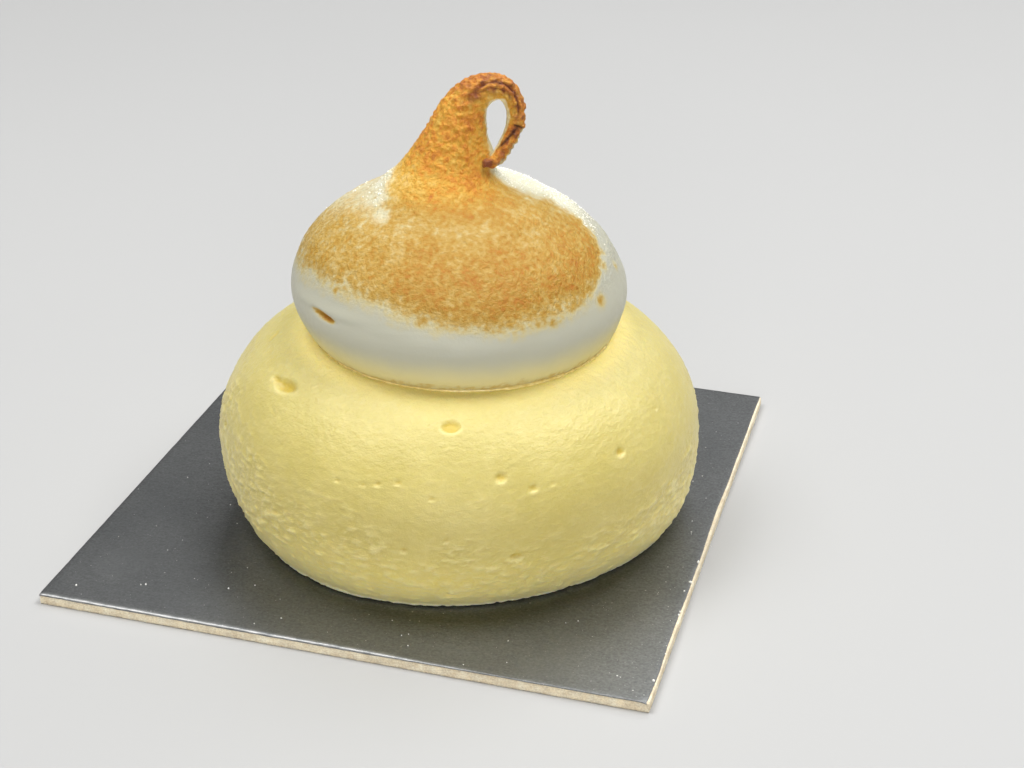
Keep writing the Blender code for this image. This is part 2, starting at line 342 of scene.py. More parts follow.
def oval_mask(tree, middle, half):
    """1 inside an uneven oval on the surface and 0 outside it."""
    place = surface_place(tree)
    off = add_node(tree, "VectorMath", {0: place, 1: middle}, operation="SUBTRACT").outputs[0]
    shares = add_node(tree, "VectorMath", {0: off, 1: half}, operation="DIVIDE").outputs[0]
    distance = add_node(tree, "VectorMath", {0: shares}, operation="LENGTH").outputs["Value"]
    uneven = effect(tree, mottle, Size=1.6 * MM, Contrast=1.4, Seed=1.0)
    reach = calculate(tree, "MULTIPLY_ADD", uneven, 0.45, distance)
    edge = {"Value": reach, "From Min": 1.26, "From Max": 1.10, "To Min": 0.0, "To Max": 1.0}
    return add_node(tree, "MapRange", edge).outputs[0]


def make_film_finish():
    finish, shader, tree = new_finish("silver_film", FILM_DARK, Metallic=0.85, Roughness=0.5)
    cloud = effect(tree, mottle, Size=13 * MM, Contrast=2.0)
    fine = effect(tree, mottle, Size=0.3 * MM, Contrast=2.4, Seed=2.0)
    streaks = effect(tree, grain, Size=1.0 * MM, Fineness=0.8, Stretch=0.25)
    smudge = oval_mask(tree, SMUDGE_AT, SMUDGE_HALF)
    base = blend_colour(tree, cloud, FILM_DARK, FILM_PALE)
    drawn = calculate(tree, "MULTIPLY_ADD", streaks, 0.5, -0.35)
    streaked = calculate(tree, "MULTIPLY_ADD", fine, 0.5, drawn)
    grainy = blend_colour(tree, clamped(tree, streaked), base, FILM_DULL)
    dulled = blend_colour(tree, calculate(tree, "MULTIPLY", smudge, 0.45), grainy, FILM_DULL)
    fine_dust = effect(tree, specks, Spacing=0.55 * MM, Radius=0.12, Share=0.40)
    dust = effect(tree, specks, Spacing=1.7 * MM, Radius=0.055, Share=0.6)
    dusty = blend_colour(tree, calculate(tree, "MULTIPLY", fine_dust, 0.26), dulled, DUST_COLOUR)
    dusted = blend_colour(tree, calculate(tree, "MULTIPLY", dust, 0.6), dusty, DUST_COLOUR)
    # Painted highlight: the cut line is painted paler where it catches the light.
    shining = blend_colour(tree, painted(tree, "cut"), dusted, FILM_CUT)
    tree.links.new(shining, shader.inputs["Base Color"])
    rough = calculate(tree, "MULTIPLY_ADD", fine, 0.10, 0.38)
    tree.links.new(calculate(tree, "MULTIPLY_ADD", smudge, 0.12, rough), shader.inputs["Roughness"])
    height = effect(tree, grain, Size=0.5 * MM, Fineness=0.5, Stretch=3.0)
    tree.links.new(bump(tree, height, 0.012 * MM), shader.inputs["Normal"])
    return finish


def make_film():
    edge = [(inset * MM, CARD_THICK - depth * MM) for inset, depth in FILM_RIM]
    points, counts = square_slab(CARD_HALF, edge[0][1], CARD_THICK, edge, FILM_EDGE_POINTS)
    on_rim = smoothstep(CARD_HALF - 0.25 * MM, CARD_HALF, np.abs(points[:, :2]).max(1))
    nicks = noise_at(points, (0.5 * MM, 0.5 * MM, 2 * MM), 3.0) * FILM_NICK
    points += outward(points) * (on_rim * nicks)[:, None]
    points[:, 2] -= on_rim * FILM_LIP * (1 + noise_at(points, 2.5 * MM, 5.0))
    at_front = smoothstep(-39.4 * MM, -39.9 * MM, points[:, 1])
    turned_down = at_front * smoothstep(22 * MM, 2 * MM, points[:, 0])
    points[:, 2] -= turned_down * on_rim * FILM_TURNED_DOWN
    short = smoothstep(CARD_HALF - 3 * MM, CARD_HALF, points[:, 0])
    points[:, 0] -= short * FILM_SHORT * (1 + 0.5 * noise_at(points, 9 * MM, 8.0))
    from_knock = np.hypot(points[:, 0] - KNOCK_AT[0], points[:, 1] - KNOCK_AT[1])
    points[:, 2] -= KNOCK_DEPTH * smoothstep(KNOCK_RADIUS, 0, from_knock)
    film = mesh_piece("card_film", points, ring_faces(counts), make_film_finish())
    # The turned-down part of the rim is painted paler: a painted highlight on the cut line.
    paint(film, cut=turned_down * (0.75 + noise_at(points, 1.1 * MM, 6.0)))
    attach(film, "root")
    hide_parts("card")


make_film()

# ---- cushion ---------------------------------------------------------------------------------
# The cake itself is lemon mousse set in a silicone mould and turned out: a round cushion 65 mm
# across, widest low down and drawn in to its foot. Its skin is matt and faintly pocked where
# bubbles burst, and the thin rim at the foot is where the mould was filled to the brim.

CUSHION_AT = (4.6 * MM, -1.6 * MM)
CUSHION_RADIUS = 32.3 * MM
CUSHION_HEIGHT = 27.7 * MM
WIDEST_HEIGHT = 12.2 * MM
CROWN_FLAT = 13.8 * MM
FOOT_RADIUS = 27.6 * MM
FOOT_SHIFT = 1.75 * MM
FOOT_SHIFT_TURN = math.radians(29)
FOOT_STRETCH = 1.95 * MM
FOOT_STRETCH_TURN = math.radians(49)
FOOT_LIFT = 0.02 * MM  # its underside lies this much above the film
LOWER_FULLNESS = 2.5
UPPER_FULLNESS = 2.17
SWELL = 0.3 * MM
SWELL_SPAN = 11 * MM
CUSHION_COLUMNS = 640
CUSHION_SIDE_ROWS = 42
CUSHION_CROWN_ROWS = 86
# The flat faces thin out to the middle: points round, and the share of the foot's radius or the
# radius in millimetres.
UNDERSIDE_RINGS = ((10, 0.15), (20, 0.3), (40, 0.5), (80, 0.68), (160, 0.82), (320, 0.91))
CROWN_RINGS = ((320, 16), (160, 13), (80, 9), (40, 6), (20, 4), (10, 2))
# The brim at the foot: how far inside the side it is, and its height, both in millimetres.
BRIM = ((0.90, 0.02), (0.20, 0.05), (-0.16, 0.10), (-0.30, 0.18))
BRIM += ((-0.34, 0.28), (-0.26, 0.42), (-0.10, 0.58), (0, 0.74))
BRIM_TOP = 0.95 * MM
BRIM_OUT = 0.26 * MM  # how far the brim's ragged parts stand out
BRIM_UP = 0.10 * MM
# Pits from burst bubbles: turn, height, width, tallness, depth, slant, and the share of the width
# that is flat floor. Angles are in degrees and lengths in millimetres.
PITS = (
    (-131.4, 24.6, 4.6, 2.2, 0.75, 12, 0.3),
    (-136.6, 24.5, 2.8, 1.0, 0.5, 12, 0.2),
    (-75, 25.0, 2.5, 1.8, 0.4, 0, 0.6),
    (-63, 20.5, 1.5, 1.3, 0.34, 0, 0.3),
    (-55.7, 19.0, 1.2, 1.0, 0.27, 0, 0.3),
    (-31.4, 20.1, 1.5, 1.2, 0.34, 0, 0.3),
    (-60.5, 10.6, 1.9, 1.0, 0.3, 0, 0.4),
    (-163, 25.2, 3.6, 1.6, 0.22, -35, 0.0),
    (-91.5, 19.4, 1.0, 0.7, 0.22, 0, 0.3),
    (-86.9, 19.8, 0.95, 0.65, 0.2, 0, 0.3),
    (-78.9, 18.4, 0.85, 0.6, 0.18, 0, 0.3),
    (-51.1, 19.1, 0.8, 0.55, 0.15, 0, 0.3),
    (-12.5, 21.8, 0.8, 0.6, 0.16, 0, 0.2),
    (-85.0, 11.6, 1.1, 0.8, 0.24, 0, 0.3),
    (-75.6, 13.3, 0.95, 0.65, 0.2, 0, 0.3),
    (-95.0, 19.0, 0.8, 0.55, 0.18, 0, 0.3),
    (-101.5, 18.8, 1.0, 0.5, 0.2, -15, 0.3),
    (0.8, 10.0, 0.9, 0.7, 0.2, 0, 0.2),
    (-140.4, 7.4, 0.9, 0.7, 0.2, 0, 0.2),
)
BACK_PITS = 26
PIN_PITS = 150
PIT_LIP = 0.05 * MM  # how far the skin stands up under a pit
# How far the rough skin stands up in its crests, lumps and small bumps, and the smooth skin in its
# small bumps, at the side and how much more on the crown, in millimetres.
CREST_RISE = 0.17
LUMP_RISE = 0.10
BUMP_RISE = 0.11
SMOOTH_RISE = 0.010
CROWN_RISE = 0.025
MOUSSE = (0.62, 0.52, 0.18)
# The skin's colour from the foot, 0, to the crown, 1. This is painted light and shade: paler low
# down to lift the shade under the bulge, darker at mid-height, and lighter again on the crown.
MOUSSE_BY_RISE = (
    (0.00, (1.00, 0.90, 0.40)),
    (0.045, (1.00, 0.86, 0.32)),
    (0.11, (0.96, 0.81, 0.27)),
    (0.25, (0.84, 0.69, 0.195)),
    (0.40, (0.63, 0.51, 0.130)),
    (0.54, (0.545, 0.443, 0.108)),
    (0.69, (0.525, 0.435, 0.110)),
    (0.80, (0.515, 0.43, 0.116)),
    (0.90, (0.56, 0.475, 0.145)),
    (1.00, (0.72, 0.62, 0.225)),
)
MOUSSE_PALE = (0.88, 0.79, 0.38)
MOUSSE_DEEP = (0.60, 0.45, 0.07)
MOUSSE_RIM = (0.98, 0.91, 0.62)
MOUSSE_BY_MERINGUE = (1.0, 0.84, 0.29)
DOLLOP_AT = (5.1 * MM, -1.4 * MM)  # the middle of the meringue that sits on the crown
CONTACT_RADIUS = 19.8 * MM  # from there to where the meringue's edge meets the crown
# The skin is rough below these heights, in millimetres, at each turn in degrees.
ROUGH_BELOW = ((-180, 20), (-150, 19), (-130, 17), (-110, 14.5), (-90, 12), (-70, 10.5), (-50, 10))
ROUGH_BELOW += ((-30, 11), (-10, 14), (10, 16), (90, 13), (150, 18), (180, 20))


def facings(points, faces):
    """The direction that the surface faces at each point."""
    mesh = bpy.data.meshes.new("facings")
    mesh.from_pydata(np.asarray(points).tolist(), [], faces)
    found = np.empty(len(mesh.vertices) * 3, np.float32)
    mesh.vertex_normals.foreach_get("vector", found)
    bpy.data.meshes.remove(mesh)
    return found.reshape(-1, 3).astype(float)


def by_table(value, table):
    """The second number of the table's pairs, read off between the firsts at each value."""
    return np.interp(value, *zip(*table))


def foot_radius(turn):
    """Radius of the cushion's foot, which is a little out of round, at a turn about its middle."""
    shift = FOOT_SHIFT * np.cos(turn - FOOT_SHIFT_TURN)
    return FOOT_RADIUS + shift + FOOT_STRETCH * np.cos(2 * (turn - FOOT_STRETCH_TURN))


def crown_height(radius):
    """Height of the cushion's upper surface at a distance from its middle."""
    out = np.clip((radius - CROWN_FLAT) / (CUSHION_RADIUS - CROWN_FLAT), 0, 1)
    up = (1 - out**UPPER_FULLNESS) ** (1 / UPPER_FULLNESS)
    return WIDEST_HEIGHT + (CUSHION_HEIGHT - WIDEST_HEIGHT) * up


def side_radius(height, turn):
    """Radius of the cushion at a height and a turn about its middle."""
    up = np.clip((height - WIDEST_HEIGHT) / (CUSHION_HEIGHT - WIDEST_HEIGHT), 0, 1)
    upper = CROWN_FLAT + (CUSHION_RADIUS - CROWN_FLAT) * (1 - up**UPPER_FULLNESS) ** (1 / UPPER_FULLNESS)
    drawn_in = 1 - (foot_radius(turn) / CUSHION_RADIUS) ** LOWER_FULLNESS
    reach = WIDEST_HEIGHT / drawn_in ** (1 / LOWER_FULLNESS)
    down = np.clip((WIDEST_HEIGHT - height) / reach, 0, 1)
    lower = CUSHION_RADIUS * (1 - down**LOWER_FULLNESS) ** (1 / LOWER_FULLNESS)
    return np.where(height > WIDEST_HEIGHT, upper, lower)


def cushion_rings():
    """The cushion's smooth form as rings from its underside up, about its own middle."""
    rings = []

    def add_ring(count, radius, height):
        turn = np.arange(count) * (2 * math.pi / count)
        out = radius(turn) if callable(radius) else np.full(count, radius)
        rings.append(np.stack([out * np.cos(turn), out * np.sin(turn), np.full(count, height)], 1))

    for count, share in UNDERSIDE_RINGS:
        add_ring(count, lambda turn: foot_radius(turn) * share, FOOT_LIFT)
    for inset, height in BRIM:
        add_ring(CUSHION_COLUMNS, lambda turn: side_radius(height * MM, turn) - inset * MM, height * MM)
    for height in np.linspace(BRIM_TOP, WIDEST_HEIGHT, CUSHION_SIDE_ROWS):
        add_ring(CUSHION_COLUMNS, lambda turn: side_radius(height, turn), height)
    for angle in np.radians(np.linspace(1.2, 80, CUSHION_CROWN_ROWS)):
        out = math.cos(angle) ** (2 / UPPER_FULLNESS)
        up = math.sin(angle) ** (2 / UPPER_FULLNESS)
        radius = CROWN_FLAT + (CUSHION_RADIUS - CROWN_FLAT) * out
        add_ring(CUSHION_COLUMNS, radius, WIDEST_HEIGHT + (CUSHION_HEIGHT - WIDEST_HEIGHT) * up)
    for count, radius in CROWN_RINGS:
        add_ring(count, radius * MM, float(crown_height(radius * MM)))
    points = np.concatenate([*rings, [(0, 0, FOOT_LIFT), (0, 0, CUSHION_HEIGHT)]])
    return points, [len(ring) for ring in rings]


def pit_floor(points, spot, facing, shape):
    """How deep in a pit each point lies: 0 on and outside its rim, 1 on its floor."""
    width, tall, slant, flat = shape
    across = np.cross((0, 0, 1), facing)
    across /= np.linalg.norm(across)
    upward = np.cross(facing, across)
    turned = math.radians(slant)
    along = across * math.cos(turned) + upward * math.sin(turned)
    beside = upward * math.cos(turned) - across * math.sin(turned)
    off = points - spot
    close = np.abs(off @ facing) < width * MM
    reach = np.hypot(off @ along / (width / 2 * MM), off @ beside / (tall / 2 * MM))
    return np.where(close, smoothstep(1.12, flat, reach), 0.0)


def pits_to_sink(draw):
    """The pits of the shown side, the same kind on the far side, and pinholes all over."""
    yield from PITS
    for turn in draw.uniform(15, 215, BACK_PITS):
        width = draw.uniform(0.5, 2.2)
        yield turn, draw.uniform(3, 25), width, width * 0.75, width * 0.22, draw.uniform(-20, 20), 0.35
    for turn in draw.uniform(-180, 180, PIN_PITS):
        width = draw.uniform(0.35, 0.6)
        yield turn, draw.uniform(2, 26), width, width * 0.7, 0.08, draw.uniform(-20, 20), 0.1


def colour_ramp(tree, value, colours):
    """The colour that stands at value in a list of places from 0 to 1 and their colours."""
    ramp = add_node(tree, "ValToRGB", {"Fac": value})
    stops = ramp.color_ramp.elements
    while len(stops) < len(colours):
        stops.new(0.5)
    for stop, (position, colour) in zip(stops, colours):
        stop.position = position
        stop.color = (*colour, 1.0)
    return ramp.outputs["Color"]


def make_mousse_finish():
    finish, shader, tree = new_finish(
        "lemon_mousse",
        MOUSSE,
        Roughness=0.5,
        Subsurface_Weight=0.6,
        Subsurface_Radius=(1.0, 0.8, 0.35),
        Subsurface_Scale=0.4 * MM,
        Specular_IOR_Level=0.45,
        Sheen_Weight=0.12,
    )
    soft = effect(tree, mottle, Size=5 * MM, Contrast=1.5)
    small = effect(tree, mottle, Size=2.2 * MM, Contrast=2.2, Seed=6.0)
    # Painted light and shade by height.
    skin = colour_ramp(tree, painted(tree, "rise"), MOUSSE_BY_RISE)
    clouded = blend_colour(tree, calculate(tree, "MULTIPLY", soft, 0.22), skin, MOUSSE_PALE)
    shaded = blend_colour(tree, calculate(tree, "MULTIPLY", small, 0.20), clouded, MOUSSE)
    fine = effect(tree, mottle, Size=0.45 * MM, Contrast=2.0, Seed=3.0)
    flecked = blend_colour(tree, calculate(tree, "MULTIPLY", fine, 0.10), shaded, MOUSSE_PALE)
    sunk = blend_colour(tree, painted(tree, "hollow"), flecked, MOUSSE_DEEP)
    # Paler crests, and a painted highlight on the lip under each pit.
    raised = blend_colour(tree, painted(tree, "pale"), sunk, MOUSSE_PALE)
    # The rough skin's crests are paler and stand up more.
    dashes = effect(tree, grain, Size=0.7 * MM, Fineness=0.5, Flatness=1.8)
    crests = clamped(tree, calculate(tree, "MULTIPLY_ADD", dashes, 6.0, -5.0))
    crested = calculate(tree, "MULTIPLY", painted(tree, "crested"), 0.30)
    streaked = blend_colour(tree, calculate(tree, "MULTIPLY", crests, crested), raised, MOUSSE_PALE)
    # Painted light near the meringue, where its overhang shades the crown.
    golden = blend_colour(tree, painted(tree, "near"), streaked, MOUSSE_BY_MERINGUE)
    rimmed = blend_colour(tree, painted(tree, "rim"), golden, MOUSSE_RIM)
    tree.links.new(rimmed, shader.inputs["Base Color"])
    tree.links.new(calculate(tree, "MULTIPLY_ADD", fine, 0.14, 0.38), shader.inputs["Roughness"])
    roughness = calculate(tree, "MULTIPLY_ADD", painted(tree, "rough"), 0.9, 0.22)
    peel = calculate(tree, "MULTIPLY", dashes, roughness)
    velvet = effect(tree, grain, Size=0.2 * MM, Fineness=0.5)
    height = calculate(tree, "MULTIPLY_ADD", velvet, 0.25, peel)
    tree.links.new(bump(tree, height, 0.13 * MM), shader.inputs["Normal"])
    return finish


def sink_pits(points):
    """How far the pits sink each point, how deep in one it lies, and how much of it is the lip under
    one, where the skin stands up a little because the bubble's edge slumped."""
    sink, hollow, lip = np.zeros((3, len(points)))
    for pit_turn, pit_height, width, tall, depth, slant, flat in pits_to_sink(np.random.default_rng(8)):
        at = math.radians(pit_turn)
        level = np.array([pit_height * MM, pit_height * MM + 0.5 * MM, pit_height * MM - 0.5 * MM])
        out, upper, lower = side_radius(level, at)
        spot = np.array([out * math.cos(at), out * math.sin(at), level[0]])
        facing = np.array([math.cos(at) * MM, math.sin(at) * MM, lower - upper])
        facing /= np.linalg.norm(facing)
        floor = pit_floor(points, spot, facing, (width, tall, slant, flat))
        sink = np.maximum(sink, floor * depth * MM)
        hollow = np.maximum(hollow, floor * min(1.0, depth / 0.35))
        below = spot - (0, 0, tall * 0.45 * MM)
        under = pit_floor(points, below, facing, (width * 1.25, tall, slant, flat))
        lip = np.maximum(lip, under * min(1.0, depth / 0.25) * min(1.0, flat / 0.2))
    return sink, hollow, np.clip(lip - 1.6 * hollow, 0, 1)


def make_cushion():
    points, counts = cushion_rings()
    faces = ring_faces(counts)
    normal = facings(points, faces)
    turn = np.arctan2(points[:, 1], points[:, 0])
    radius, height = np.hypot(points[:, 0], points[:, 1]), points[:, 2]
    off_foot = smoothstep(0.8 * MM, 4 * MM, height)
    off_crown = smoothstep(20 * MM, 26 * MM, radius)
    swell = SWELL * noise_at(points, SWELL_SPAN) * off_foot * off_crown
    shown = smoothstep(17 * MM, 19 * MM, radius) * smoothstep(0.2 * MM, 1.5 * MM, height)
    # Below the middle, and in patches above it, the skin is rougher: short low crests drawn out
    # round the cushion. An uneven line parts the rough skin from the smooth.
    patch = noise_at(points, (6 * MM, 6 * MM, 3.5 * MM), 15.0)
    above = height - by_table(np.degrees(turn), ROUGH_BELOW) * MM + 5 * MM * patch
    rough = smoothstep(3 * MM, -3 * MM, above) * 0.82 + 0.18
    dashes = noise_at(points, (1.6 * MM, 1.6 * MM, 0.60 * MM), 11.0)
    lumps = noise_at(points, (3.6 * MM, 3.6 * MM, 1.8 * MM), 5.0)
    small = noise_at(points, 0.7 * MM, 2.0)
    drawn_out = noise_at(points, (1.0 * MM, 1.0 * MM, 0.48 * MM), 12.0)
    crests = np.maximum(smoothstep(0.08, 0.45, dashes), 0.7 * smoothstep(0.2, 0.5, drawn_out))
    on_crown = smoothstep(19 * MM, 24 * MM, height)
    relief = (CREST_RISE * crests + LUMP_RISE * lumps + BUMP_RISE * small) * rough
    relief = (relief + (SMOOTH_RISE + CROWN_RISE * on_crown) * small) * MM * shown
    sink, hollow, lip = sink_pits(points)
    sink -= PIT_LIP * lip
    # The brim is ragged: it stands out and thins away by turns.
    off_middle = radius > 20 * MM
    on_brim = smoothstep(0, 0.12 * MM, height) * smoothstep(0.8 * MM, 0.5 * MM, height) * off_middle
    ragged = noise_at(points, (0.7 * MM, 0.7 * MM, 9 * MM), 1.0)
    ragged = ragged + noise_at(points, (4 * MM, 4 * MM, 9 * MM), 9.0)
    brim = on_brim * np.minimum(ragged, 0.3) * BRIM_OUT
    points = points + normal * (swell + relief - sink + brim)[:, None]
    points[:, 2] += on_brim * np.clip(ragged, -0.9, 1) * BRIM_UP
    points += (*CUSHION_AT, CARD_THICK)
    # Close to the meringue the skin is painted lighter and golden: painted light that lifts the shade
    # under the dollop's overhang.
    from_contact = np.hypot(*(points[:, :2] - DOLLOP_AT).T) - CONTACT_RADIUS
    close = 0.45 * smoothstep(4 * MM, 1 * MM, from_contact) + 0.55 * smoothstep(1 * MM, 0, from_contact)
    on_rim = smoothstep(0.68 * MM, 0.5 * MM, height) * off_middle
    cushion = mesh_piece("mousse_cushion", points, faces, make_mousse_finish())
    paint(
        cushion,
        rise=height / CUSHION_HEIGHT,
        hollow=hollow,
        # The crests' paler colour, and the lip under each pit painted paler: a painted highlight.
        pale=np.maximum(crests * rough * 0.45 * shown, 0.6 * lip),
        crested=rough,
        rough=np.maximum(rough, 0.7 * on_crown),
        # Where painted light lifts the shade under the meringue.
        near=close * on_crown,
        rim=on_rim * (0.9 + 0.3 * ragged),
    )
    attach(cushion, "root")
    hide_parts("cake_body")


make_cushion()

# ---- meringue --------------------------------------------------------------------------------
# Italian meringue, piped in one dollop from a round nozzle. The nozzle drew up a peak that curled
# over and stuck to its own foot. A blowtorch browned the top: it dried to a grainy crust, golden
# to caramel on the peak, and stayed white below and on the side turned away from the flame.

PEAK_HEADING = math.radians(16)
# The dollop leans back against the heading between these two heights, in millimetres.
DOLLOP_LEAN = -0.09
LEAN_FROM = 27.1
LEAN_TO = 47.0
# Out along the heading, aside, height and radius of the piped sections, in millimetres.
SECTIONS = (
    (0.0, 0.0, 24.5, 17.2),
    (0.0, 0.0, 27.1, 19.7),
    (0.0, 0.0, 29.6, 21.2),
    (0.0, 0.0, 33.2, 22.0),
    (0.0, 0.0, 37.0, 20.8),
    (0.0, 0.0, 40.6, 18.2),
    (0.0, 0.0, 44.0, 13.6),
    (0.0, 0.0, 47.0, 8.3),
    (0.3, 0.0, 49.8, 5.6),
    (1.1, 0.0, 53.5, 4.0),
    (1.9, 0.0, 56.4, 3.1),
    (3.2, 0.0, 58.5, 2.4),
    (5.2, 0.0, 59.6, 1.8),
    (7.2, 0.0, 59.3, 1.4),
    (8.4, 0.0, 57.2, 1.2),
    (8.3, -0.5, 54.6, 1.1),
    (7.1, -1.4, 52.3, 0.95),
    (5.9, -2.4, 50.9, 0.8),
    (4.9, -3.1, 50.8, 0.6),
)
FINE_STEPS = 240  # between two sections, before rings are picked
# How far apart the rings are, in millimetres, by their place along the sections.
RING_ROOM = ((0, 0.34), (3.0, 0.34), (3.6, 0.212), (6.5, 0.212), (8, 0.148), (18, 0.117))
# The underside's rings: points round, and share of the radius.
SEAT_RINGS = ((10, 0.15), (20, 0.3), (40, 0.5), (80, 0.66), (160, 0.8), (320, 0.9), (640, 0.97))
SEAT_PLACE = 0.85  # where along the sections the dollop's underside is
# The tip is rounded off: how far ahead of the last section, in millimetres, and share of its radius.
TIP_RINGS = ((0.25, 0.95), (0.45, 0.8), (0.58, 0.5))
TIP_AHEAD = 0.6
# Browning runs from 0, white, to 1, dark brown. Its lower edge has a height for each turn about the
# dollop's middle, in degrees; it grows above that edge, and changes with the height and the turn.
EDGE_HEIGHTS = ((-180, 36.9), (-160, 36.6), (-144, 37.1), (-125, 38.0), (-105, 37.9), (-85, 36.5))
EDGE_HEIGHTS += ((-62, 35.5), (-40, 35.7), (-16, 35.8), (0, 36.1), (60, 37.5), (120, 37.2), (180, 36.9))
TOAST_ABOVE_EDGE = ((-1.0, 0.0), (0.3, 0.2), (1.4, 0.48), (2.6, 0.64), (4.5, 0.66))
TOAST_BY_HEIGHT = ((40, 0.66), (42, 0.61), (43.8, 0.56), (45.2, 0.51))
TOAST_BY_HEIGHT += ((46.3, 0.60), (47.5, 0.69), (50, 0.77), (54, 0.8))
TOAST_BY_TURN = ((-180, 0.5), (-164, 0.58), (-150, 0.70), (-130, 0.76), (-112, 0.84))
TOAST_BY_TURN += ((-88, 0.97), (-20, 1), (5, 0.95), (130, 0.8), (180, 0.4))
# The side turned from the flame: the turn where it starts at each height, and where it ends.
WHITE_FROM = ((35, -22), (36, -20), (37, -14), (38, -5), (39, 2), (40.5, 11))
WHITE_FROM += ((43, 20), (44.6, 21), (45.6, 14), (47.6, 12), (49, 6))
WHITE_TO = 84
# Spots that the flame missed or caught: turn, height, reach in degrees and millimetres, strength.
PALE_PATCHES = (
    (-163, 47.2, 17, 1.4, 0.9),
    (-143, 46.2, 13, 1.0, 0.72),
    (-122, 45.3, 7, 0.6, 0.5),
    (-72, 45.2, 30, 0.5, 0.25),
    (95, 46.0, 22, 1.3, 0.8),
    (140, 43.0, 16, 1.2, 0.5),
)
DARK_SPOTS = (
    (-84.2, 37.1, 2.4, 0.7, 0.64),
    (-60.2, 37.4, 3.6, 0.8, 0.66),
    (-39.5, 35.6, 2.2, 0.6, 0.5),
    (-15.4, 35.6, 2.4, 0.75, 0.5),
    (6.4, 36.9, 1.6, 0.5, 0.3),
    (-3, 38.3, 2.2, 0.5, 0.45),
    (-119.7, 38.2, 1.5, 0.5, 0.45),
    (-89.8, 47.7, 4.5, 0.7, 0.92),
    (-55.5, 46.2, 4.5, 0.7, 0.72),
    (150, 38.0, 3, 0.8, 0.6),
    (118, 36.9, 2, 0.6, 0.6),
)
# The slit low on the left, given as the cushion's pits are.
SLIT = (-123.6, 34.7, 6.2, 1.15, 0.6, -4, 0.15)
CREASE_HEIGHT = 34.6  # of the soft fold that runs on from it
# On the peak and the curl a place is given by how far it is along the sections and by its angle
# round them, in degrees: 0 is the inner side of the curl, which the flame didn't reach. It stayed
# cream within these angles, and the folds run along the lines that follow.
CREAM_WITHIN = ((7, 10), (8.5, 24), (9.0, 17), (9.6, 12), (10.6, 24), (11.4, 34))
CREAM_WITHIN += ((12.3, 44), (13.5, 56), (14.4, 50), (15.3, 42), (16.5, 40), (18, 30))
FOLD = ((10.7, -107), (11.3, -113), (11.66, -121), (12.0, -129))
FOLD += ((12.4, -132), (12.8, -136), (13.2, -125), (14.3, -108))
INNER_FOLD = ((11.1, -100), (11.5, -105), (12.1, -104), (12.9, -100))
FAR_FOLD = ((10.8, 112), (11.6, 131), (12.4, 124), (13.1, 137), (13.8, 118), (14.6, 121))
RUN_FOLD = ((14.9, -112), (15.2, -98), (15.66, -75), (16.2, -52))
KINK = ((-180, 15.03), (-150, 14.93), (-120, 14.86), (-90, 14.84), (180, 14.84))  # angle, place along
# How deep they are, in millimetres.
FOLD_DEPTH = 0.24
INNER_FOLD_DEPTH = 0.12
RUN_FOLD_DEPTH = 0.16
KINK_DEPTH = 0.26
# The untoasted white, greyed as a painted shade for the band under the shoulder. The top of the white
# gets a lighter tint: painted light.
MERINGUE_WHITE = (0.49, 0.48, 0.38)
# The colour of the peak's painted glints.
MERINGUE_CRUMB = (1.0, 0.58, 0.13)
# The tints that go over the browning one by one, each where the dollop is painted with its name.
# Several are painted light: yellow light bounced up from the mousse onto the dollop's foot, the lit
# top of the white, a glow inside the curl, and shade in the curl's creases.
MERINGUE_TINTS = {
    "cream": (0.72, 0.635, 0.305),
    "bright": (0.74, 0.72, 0.55),
    "glow": (0.97, 0.83, 0.47),
    "brown": (0.25, 0.068, 0.024),
    "burn": (0.035, 0.010, 0.006),
}
TOAST_COLOURS = (
    (0.00, MERINGUE_WHITE),
    (0.16, (0.55, 0.480, 0.270)),
    (0.27, (0.535, 0.415, 0.172)),
    (0.36, (0.50, 0.340, 0.104)),
    (0.48, (0.472, 0.295, 0.058)),
    (0.56, (0.445, 0.258, 0.037)),
    (0.64, (0.425, 0.225, 0.024)),
    (0.74, (0.425, 0.194, 0.015)),
    (0.84, (0.415, 0.155, 0.010)),
    (1.00, (0.320, 0.092, 0.008)),
)
PEAK_LIFT = 0.60  # how much lighter the peak is painted, as a share of its colour: painted light


def sweep_path():
    """Fine Catmull-Rom points through the sections, with each one's place along them."""
    rows = np.array(SECTIONS)
    ends = np.concatenate([[2 * rows[0] - rows[1]], rows, [2 * rows[-1] - rows[-2]]])
    t = np.arange(FINE_STEPS)[:, None] / FINE_STEPS
    stretches = []
    for before, start, end, after in zip(ends, ends[1:], ends[2:], ends[3:]):
        curve = start + (end - before) * (t / 2)
        curve = curve + (before * 2 - start * 5 + end * 4 - after) * (t * t / 2)
        stretches.append(curve + (start * 3 - before - end * 3 + after) * (t**3 / 2))
    path = np.concatenate([*stretches, rows[-1:]])
    return path, np.arange(len(path)) / FINE_STEPS


def pick_rings(path, place):
    """The points of the path that get a ring, closer together where the surface is finer."""
    steps = np.linalg.norm(np.diff(path, axis=0), axis=1)
    passed = np.concatenate([[0], np.cumsum(steps / by_table(place[:-1], RING_ROOM))])
    return np.searchsorted(passed, np.arange(1, int(passed[-1])))


def ring_sides(radius):
    """How many points a ring of this radius, in millimetres, needs."""
    return np.select([radius > 12, radius > 6, radius > 2.6], [640, 320, 160], 80)


def lie_frames(path):
    """For each point of the path, two directions across it that turn as little as they can."""
    heading = np.gradient(path[:, :3], axis=0)
    heading /= np.linalg.norm(heading, axis=1)[:, None]
    first, across = np.array([1.0, 0.0, 0.0]), []
    for direction in heading:
        first = first - direction * (first @ direction)
        first = first / np.linalg.norm(first)
        across.append(first)
    across = np.array(across)
    return across, np.cross(heading, across)


